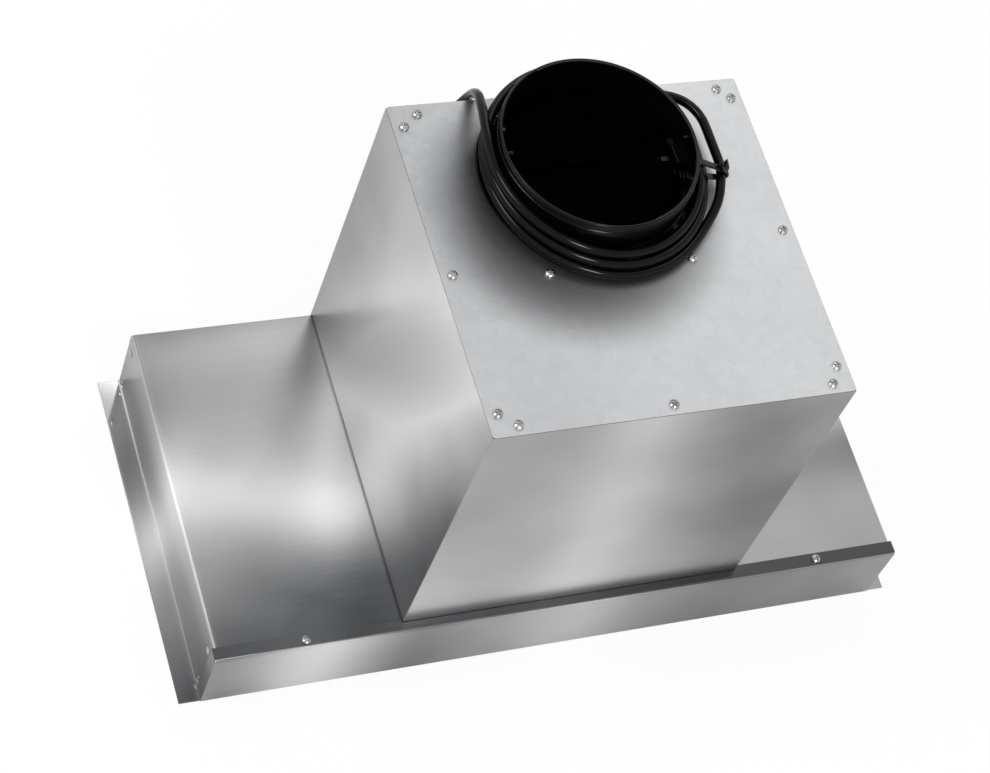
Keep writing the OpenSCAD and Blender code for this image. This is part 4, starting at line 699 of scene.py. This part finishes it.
spec = plugSpec
ribLength = spec["reliefLength"] / spec["reliefRibs"]
relief = []
for i in range(spec["reliefRibs"]):
    r = spec["reliefThin"] + (spec["reliefThick"] - spec["reliefThin"]) * i / spec["reliefRibs"]
    groove = r - spec["ribGap"]
    for offset, radius in ((0, groove), (spec["ribRise"], r - spec["ribRound"]),
            (spec["ribCrown"], r), (ribLength - spec["ribFall"], r + spec["ribRound"]),
            (ribLength - spec["ribEnd"], groove)):
        relief.append(plugRing(i * ribLength + offset, radius, radius, 2))
bodyStart = spec["reliefLength"]
bodyEnd = bodyStart + spec["bodyLength"]
bodyRings = [plugRing(bodyStart - spec["neckSunk"], spec["neckRadius"], spec["neckRadius"], 2)]
for along, thick, wide, power in spec["bodyRings"]:
    bodyRings.append(plugRing(bodyStart + along, spec["halfThick"] * thick,
        spec["halfWide"] * wide, power))
grips = []
for along in spec["gripPlaces"]:
    for side in (-1, 1):
        foot = plugPoint(side * spec["halfThick"] * spec["gripFoot"], bodyStart + along, 0)
        grips.append(loft([squareRing(foot + plugOut * side * rise * mm, plugWay, plugUp, half * mm,
            spec["gripWidth"] * half * mm / spec["gripLength"], spec["gripSquare"], 16)
            for rise, half in spec["gripRings"]]))
plugBody = meshPiece("plugBody", *joinParts(loft(relief), loft(bodyRings), *grips), plugPvc,
    slot="plug_rubber", replaced=("plug",), sharp=50)
pins = []
for side in (-1, 1):
    rings = []
    for back, shrink in ((spec["bladeLength"] + spec["pinSunk"], 1), *spec["bladeTip"]):
        at = plugPoint(0, bodyEnd + spec["bladeLength"] - back, side * spec["bladeSpread"] / 2)
        rings.append(squareRing(at, plugUp, plugOut, spec["bladeThick"] / 2 * mm,
            spec["bladeWidth"] / 2 * shrink * mm, spec["bladeSquare"], 24))
    pins.append(loft(rings))
rings = []
for back, shrink in ((spec["earthLength"] + spec["pinSunk"], 1), *spec["earthTip"]):
    at = plugPoint(-spec["earthDrop"], bodyEnd + spec["earthLength"] - back, 0)
    radius = spec["earthRadius"] * shrink * mm
    rings.append(squareRing(at, plugOut, plugUp, radius, radius, 2, 24))
pins.append(loft(rings))
plugBlades = meshPiece("plugBlades", *joinParts(*pins), bladeBrass, slot="plug_rubber",
    replaced=("plug",))
print("plug made")

# The cable tie round the lead's three strands: a strap drawn tight, its head and the cut tail.
# The rings of head and tail are given as height in millimetres and share of the full size.
tieSpec = {
    "angle": 350, "gap": 0.8, "thick": 1.4, "width": 5, "edgeShare": 0.86,
    "headWidth": 6, "headHeight": 6, "headDepth": 7, "headSunkShare": 0.6,
    "headRings": ((0, 0.94), (0.5, 1), (5.2, 1), (5.8, 0.94), (6, 0.86)), "headSquare": 7,
    "tailRings": ((0, 1), (4.5, 1), (7.5, 0.7)), "tailThickShare": 0.4, "tailWidthShare": 0.42,
    "tailSquare": 8,
}


# The turns' places at the tie, as (radius, height) on the straight stretch between two points
def turnsAt(angle):
    places = []
    for k in range(math.ceil(lead["turnCount"])):
        share = (angle + 360 * k - lead["startAngle"]) / span * steps
        i = int(share)
        point = turns[i].lerp(turns[i + 1], share - i) - ductCentre
        places.append(Vector((math.hypot(point.x, point.y), point.z)))
    return places


# The outline of a band pulled tight round circles of one radius
def hullRound(places, radius, count=48):
    points = sorted({(round(p.x + radius * math.cos(2 * math.pi * k / count), 7),
        round(p.y + radius * math.sin(2 * math.pi * k / count), 7))
        for p in places for k in range(count)})

    def half(ordered):
        chain = []
        for p in ordered:
            while len(chain) > 1 and (chain[-1][0] - chain[-2][0]) * (p[1] - chain[-2][1]) \
                    - (chain[-1][1] - chain[-2][1]) * (p[0] - chain[-2][0]) <= 0:
                chain.pop()
            chain.append(p)
        return chain[:-1]

    return half(points) + half(points[::-1])


tieTurn = math.radians(tieSpec["angle"])
tieOut = Vector((math.cos(tieTurn), math.sin(tieTurn), 0))
tieAlong = Vector((-math.sin(tieTurn), math.cos(tieTurn), 0))


def tiePoint(radius, height, along):
    return ductCentre + tieOut * radius + skyward * height + tieAlong * along


spec = tieSpec
tieTurns = turnsAt(spec["angle"])
inner = lead["diameter"] / 2 + spec["gap"] * mm
innerLine = hullRound(tieTurns, inner)
outerLine = []
for i, p in enumerate(innerLine):
    before, after = Vector(innerLine[i - 1]), Vector(innerLine[(i + 1) % len(innerLine)])
    way = (after - before).normalized()
    outerLine.append(Vector(p) + Vector((way.y, -way.x)) * spec["thick"] * mm)
half = spec["width"] / 2 * mm
outerHalf = half * spec["edgeShare"]
strapVerts, strapFaces = [], []
for p, q in zip(innerLine, outerLine):
    for point, along in ((p, -half), (q, -outerHalf), (q, outerHalf), (p, half)):
        strapVerts.append(tiePoint(point[0], point[1], along))
for i in range(len(innerLine)):
    a, b = i * 4, (i + 1) % len(innerLine) * 4
    for k in range(4):
        strapFaces.append((a + k, b + k, b + (k + 1) % 4, a + (k + 1) % 4))
outerTurn = tieTurns[-1]
headBase = outerTurn.y + inner + spec["thick"] * spec["headSunkShare"] * mm
tailBase = headBase + spec["headHeight"] / 2 * mm
head = loft([squareRing(tiePoint(outerTurn.x, headBase + z * mm, 0), tieOut, tieAlong,
    spec["headWidth"] / 2 * mm * s, spec["headDepth"] / 2 * mm * s, spec["headSquare"], 32)
    for z, s in spec["headRings"]])
tail = loft([squareRing(tiePoint(outerTurn.x, tailBase + z * mm, 0), tieOut, tieAlong,
    spec["thick"] * spec["tailThickShare"] * mm, spec["width"] * spec["tailWidthShare"] * mm * s,
    spec["tailSquare"], 24) for z, s in spec["tailRings"]])
cableTie = meshPiece("cableTie", *joinParts((strapVerts, strapFaces), head, tail), tieNylon,
    slot="tie_plastic", replaced=("cord_tie",), sharp=40)
print("tie made")

# The gland on the rear panel, with the ribbed strain relief that the lead comes out of. The
# flange's rings are given as depth and inset in millimetres.
glandSpec = {
    "drop": 92, "width": 22, "height": 18, "flangeSquare": 7,
    "flangeRings": ((0, 0), (2.2, 0), (2.8, 0.4), (3, 1)),
    "neckRadius": 7.5, "neckDepth": 3.1, "neckSunk": 1,
    "back": 7.5, "elbowStart": 1, "elbowSquare": 5,
    "sleeveThick": 7, "sleeveThin": 5, "sleeveRound": 0.8, "ribs": 8, "ribGap": 0.8,
    "grooveShare": 0.3, "riseShare": 0.42, "crownShare": 0.9,
}
spec = glandSpec
glandX = ductCentre.x + lead["freePoints"][0][0]
glandZ = plateTop - spec["drop"] * mm
tipZ = plateTop + lead["freePoints"][0][2]
halfWidth, halfHeight = spec["width"] / 2 * mm, spec["height"] / 2 * mm


def glandRing(behind, height, halfX, halfZ, power):
    at = Vector((glandX, rearFace + behind, height))
    return squareRing(at, eastward, skyward, halfX, halfZ, power)


flangePart = loft([glandRing(y * mm, glandZ, halfWidth - inset * mm, halfHeight - inset * mm,
    spec["flangeSquare"]) for y, inset in spec["flangeRings"]])
neckRadius = spec["neckRadius"] * mm
neckPart = loft([glandRing(y * mm, glandZ, neckRadius, neckRadius, 2)
    for y in (-spec["neckDepth"], spec["neckSunk"])])
elbow = loft([glandRing(y * mm, glandZ - halfHeight / 2, spec["sleeveThick"] * mm, halfHeight / 2,
    spec["elbowSquare"]) for y in (spec["elbowStart"], spec["back"])])
thick, thin = spec["sleeveThick"] * mm, spec["sleeveThin"] * mm
softened, groove = spec["sleeveRound"] * mm, spec["ribGap"] * mm
footZ = glandZ - halfHeight
sleeveOutline = [(0, footZ), (thick - softened, footZ), (thick, footZ + softened), (thick, glandZ)]
ribLength = (tipZ - glandZ) / spec["ribs"]
for i in range(spec["ribs"]):
    r = thick + (thin - thick) * (i + 0.5) / spec["ribs"]
    base = glandZ + i * ribLength
    sleeveOutline += [(r - groove, base), (r - groove, base + ribLength * spec["grooveShare"]),
        (r, base + ribLength * spec["riseShare"]), (r, base + ribLength * spec["crownShare"])]
sleeveOutline += [(thin - softened, tipZ), (0, tipZ)]
sleeve = lathe(sleeveOutline, (glandX, rearFace + spec["back"] * mm, 0), segments=40)
meshPiece("strainRelief", *joinParts(flangePart, neckPart, elbow, sleeve), glandNylon,
    slot="gland_plastic", replaced=("cord_gland",), sharp=40)

# The duct collar: a turned wall with a rounded rim, its flange, a ledge for the flaps, pivot lugs
# and stop pegs. Rows that end in Edge round one corner: steps out and up from it in millimetres.
collarSpec = {
    "step": 0.6, "wall": 2, "grip": 6.5,
    "flangeRadius": 82, "flangeThick": 2.5, "spigotOuter": 71.5, "spigotInner": 69.5,
    "spigotDepth": 0.8, "ledgeWidth": 2.5, "ledgeThick": 1.6, "ledgeGap": 0.3,
    "flapRise": 12, "flapThick": 1.6,
    "flangeFootEdge": ((-0.4, 0), (0, 0.4)), "flangeTopEdge": ((0, -0.7), (-0.3, -0.2), (-0.9, 0)),
    "wallFootEdge": ((1.4, 0), (0.5, 0.4), (0, 1.2)),
    "stepEdge": ((0, -0.2), (-0.2, 0)), "gripFootEdge": ((0, 0.2),),
    "rimOutEdge": ((0, -0.9), (-0.2, -0.4), (-0.5, -0.1), (-0.8, 0)),
    "rimInEdge": ((0.6, 0), (0.2, -0.2), (0, -0.6)),
    "ledgeFootEdge": ((0, 0.3), (-0.3, 0)), "ledgeTipEdge": ((0.3, 0), (0, -0.3)),
    "bandHeight": 5, "bandThick": 0.8, "bandStart": -74, "bandSweep": 188,
    "bandSunk": 0.8, "bandTopEdge": ((0.4, 0), (0, -0.4)), "bandFootEdge": ((0, 0.2), (0.2, 0)),
    "bandBelowRim": 0.1,
    "lugLength": 6, "lugWidth": 17, "lugReach": 5, "lugSquare": 8,
    "lugRings": ((0, 0.9), (0.6, 1)), "pegRings": ((0, 0.6), (0.5, 1)), "sunk": 1,
    "pegRadius": 1.5, "pegDrop": 5, "pegs": ((0, 6), (180, 6), (163, 3), (-31, 3)),
}
spec = collarSpec
rim = rimTop - plateTop
innerR = ductRadius - spec["wall"] * mm
stepR = ductRadius + spec["step"] * mm
flangeR, flangeT = spec["flangeRadius"] * mm, spec["flangeThick"] * mm
spigotOut, spigotIn = spec["spigotOuter"] * mm, spec["spigotInner"] * mm
gripFoot = rim - spec["grip"] * mm
ledgeTop = (spec["flapRise"] - spec["flapThick"] / 2 - spec["ledgeGap"]) * mm
ledgeFoot = ledgeTop - spec["ledgeThick"] * mm
ledgeR = innerR - spec["ledgeWidth"] * mm
spigotEnd = -spec["spigotDepth"] * mm


def edge(radius, height, steps):
    return [(radius + out * mm, height + up * mm) for out, up in steps]


wallOutline = [(spigotIn, spigotEnd), (spigotOut, spigotEnd), (spigotOut, 0),
    *edge(flangeR, 0, spec["flangeFootEdge"]), *edge(flangeR, flangeT, spec["flangeTopEdge"]),
    *edge(stepR, flangeT, spec["wallFootEdge"]), *edge(stepR, gripFoot, spec["stepEdge"]),
    *edge(ductRadius, gripFoot, spec["gripFootEdge"]), *edge(ductRadius, rim, spec["rimOutEdge"]),
    *edge(innerR, rim, spec["rimInEdge"]), *edge(innerR, ledgeTop, spec["ledgeFootEdge"]),
    *edge(ledgeR, ledgeTop, spec["ledgeTipEdge"]), (ledgeR, ledgeFoot), (innerR, ledgeFoot),
    (innerR, flangeT), (spigotIn, flangeT)]
collarParts = [lathe(wallOutline, ductCentre, 192)]
# A thickened band runs round part of the rim, inside
bandOut, bandIn = innerR + spec["bandSunk"] * mm, innerR - spec["bandThick"] * mm
bandTop, bandFoot = rim - spec["bandBelowRim"] * mm, rim - spec["bandHeight"] * mm
band = [(bandOut, bandFoot), (bandOut, bandTop), *edge(bandIn, bandTop, spec["bandTopEdge"]),
    *edge(bandIn, bandFoot, spec["bandFootEdge"])]
collarParts.append(lathe(band, ductCentre, 110, spec["bandStart"], spec["bandSweep"]))
for side in (-1, 1):
    length = spec["lugLength"]
    rings = []
    for depth, shrink in (*spec["lugRings"], (length + spec["sunk"], 1)):
        reach = side * (innerR - (length - depth) * mm)
        at = ductCentre + eastward * reach + skyward * spec["flapRise"] * mm
        rings.append(squareRing(at, northward, skyward, spec["lugWidth"] / 2 * shrink * mm,
            spec["lugReach"] * shrink * mm, spec["lugSquare"], 32))
    collarParts.append(loft(rings))
for angle, length in spec["pegs"]:
    around = Vector((math.cos(math.radians(angle)), math.sin(math.radians(angle)), 0))
    across = Vector((-around.y, around.x, 0))
    rings = []
    for depth, shrink in (*spec["pegRings"], (length + spec["sunk"], 1)):
        reach = innerR - (length - depth) * mm
        at = ductCentre + around * reach + skyward * (rim - spec["pegDrop"] * mm)
        radius = spec["pegRadius"] * shrink * mm
        rings.append(squareRing(at, across, skyward, radius, radius, 2, 20))
    collarParts.append(loft(rings))
collarVerts, collarFaces = joinParts(*collarParts)
# The flange is cut flush with the rear sheet
collarVerts = [(x, min(y, rearFace), z) for x, y, z in collarVerts]
meshPiece("ductCollar", collarVerts, collarFaces, collarAbs, slot="duct_plastic",
    replaced=("duct_collar",), sharp=38)
print("collar made")

# A white table that keeps the shadow, a soft white room and three area lamps
floorSpec = {"size": 12, "below": 0.2, "dark": "#f3f3f3", "light": "#f7f7f7", "mottle": 3,
    "seenWhite": 0.92}
worldSpec = {"diffuse": 0.62, "glossyLow": 0.7, "glossyHigh": 0.95, "lowSky": 0.2, "highSky": 0.95}
lampAim = (0, 0, 0.2)
lampSpecs = [
    {"name": "keyLamp", "place": (0.05, -1.25, 1.95), "size": 0.36, "power": 15},
    {"name": "sideLamp", "place": (-1.3, 0.3, 2.0), "size": 0.8, "power": 14},
    {"name": "rearLamp", "place": (0.64, 1.38, 1.6), "size": 0.9, "power": 4.7},
]

floorMaterial, tree, coords = startMaterial("paleTable")
path = addNode(tree, "ShaderNodeLightPath")
seen = addNode(tree, "ShaderNodeMath", {"operation": "MULTIPLY"},
    {0: path.outputs["Is Camera Ray"], 1: floorSpec["seenWhite"]})
mottle = addNode(tree, "ShaderNodeTexNoise", None, {"Vector": coords,
    "Scale": floorSpec["mottle"]})
tone = addNode(tree, "ShaderNodeMix", {"data_type": "RGBA"}, {0: mottle.outputs[0],
    6: linear(floorSpec["dark"]), 7: linear(floorSpec["light"])})
matte = addNode(tree, "ShaderNodeBsdfDiffuse", None, {"Color": tone.outputs[2]})
glow = addNode(tree, "ShaderNodeEmission", None, {"Color": (1, 1, 1, 1), "Strength": 1.0})
mixed = addNode(tree, "ShaderNodeMixShader", None, {0: seen.outputs[0], 1: matte.outputs[0],
    2: glow.outputs[0]})
endMaterial(tree, mixed.outputs[0])
size, floorZ = floorSpec["size"] / 2, -floorSpec["below"] * mm
floorMesh = bpy.data.meshes.new("paleFloor")
floorMesh.from_pydata([(-size, -size, floorZ), (size, -size, floorZ), (size, size, floorZ),
    (-size, size, floorZ)], [], [(0, 1, 2, 3)])
floorMesh.materials.append(floorMaterial)
floor = bpy.data.objects.new("paleFloor", floorMesh)
bpy.context.scene.collection.objects.link(floor)

world = bpy.data.worlds.new("studio")
bpy.context.scene.world = world
world.use_nodes = True
tree = world.node_tree
tree.nodes.clear()
path = addNode(tree, "ShaderNodeLightPath")
direction = addNode(tree, "ShaderNodeTexCoord")
split = addNode(tree, "ShaderNodeSeparateXYZ", None, {0: direction.outputs["Generated"]})
# Bright low down all round, darker overhead, so that flat sheets take soft gradients
skyTone = addNode(tree, "ShaderNodeMapRange", {"interpolation_type": "SMOOTHSTEP"},
    {"Value": split.outputs["Z"], "From Min": worldSpec["lowSky"],
    "From Max": worldSpec["highSky"], "To Min": worldSpec["glossyHigh"],
    "To Max": worldSpec["glossyLow"]})
level = addNode(tree, "ShaderNodeMix", {"data_type": "FLOAT"},
    {0: path.outputs["Is Glossy Ray"], 2: worldSpec["diffuse"], 3: skyTone.outputs[0]})
whole = addNode(tree, "ShaderNodeMix", {"data_type": "FLOAT"},
    {0: path.outputs["Is Camera Ray"], 2: level.outputs[0], 3: 1.0})
sky = addNode(tree, "ShaderNodeBackground", None, {"Color": (1, 1, 1, 1),
    "Strength": whole.outputs[0]})
output = addNode(tree, "ShaderNodeOutputWorld")
tree.links.new(sky.outputs[0], output.inputs["Surface"])

for spec in lampSpecs:
    lampData = bpy.data.lights.new(spec["name"], "AREA")
    lampData.size = spec["size"]
    lampData.energy = spec["power"]
    lamp = bpy.data.objects.new(spec["name"], lampData)
    place = Vector(spec["place"])
    aim = (Vector(lampAim) - place).to_track_quat("-Z", "Y")
    lamp.matrix_world = Matrix.Translation(place) @ aim.to_matrix().to_4x4()
    bpy.context.scene.collection.objects.link(lamp)
bpy.context.scene.view_settings.view_transform = "Standard"
print("stage and lamps set")

bpy.context.view_layer.update()
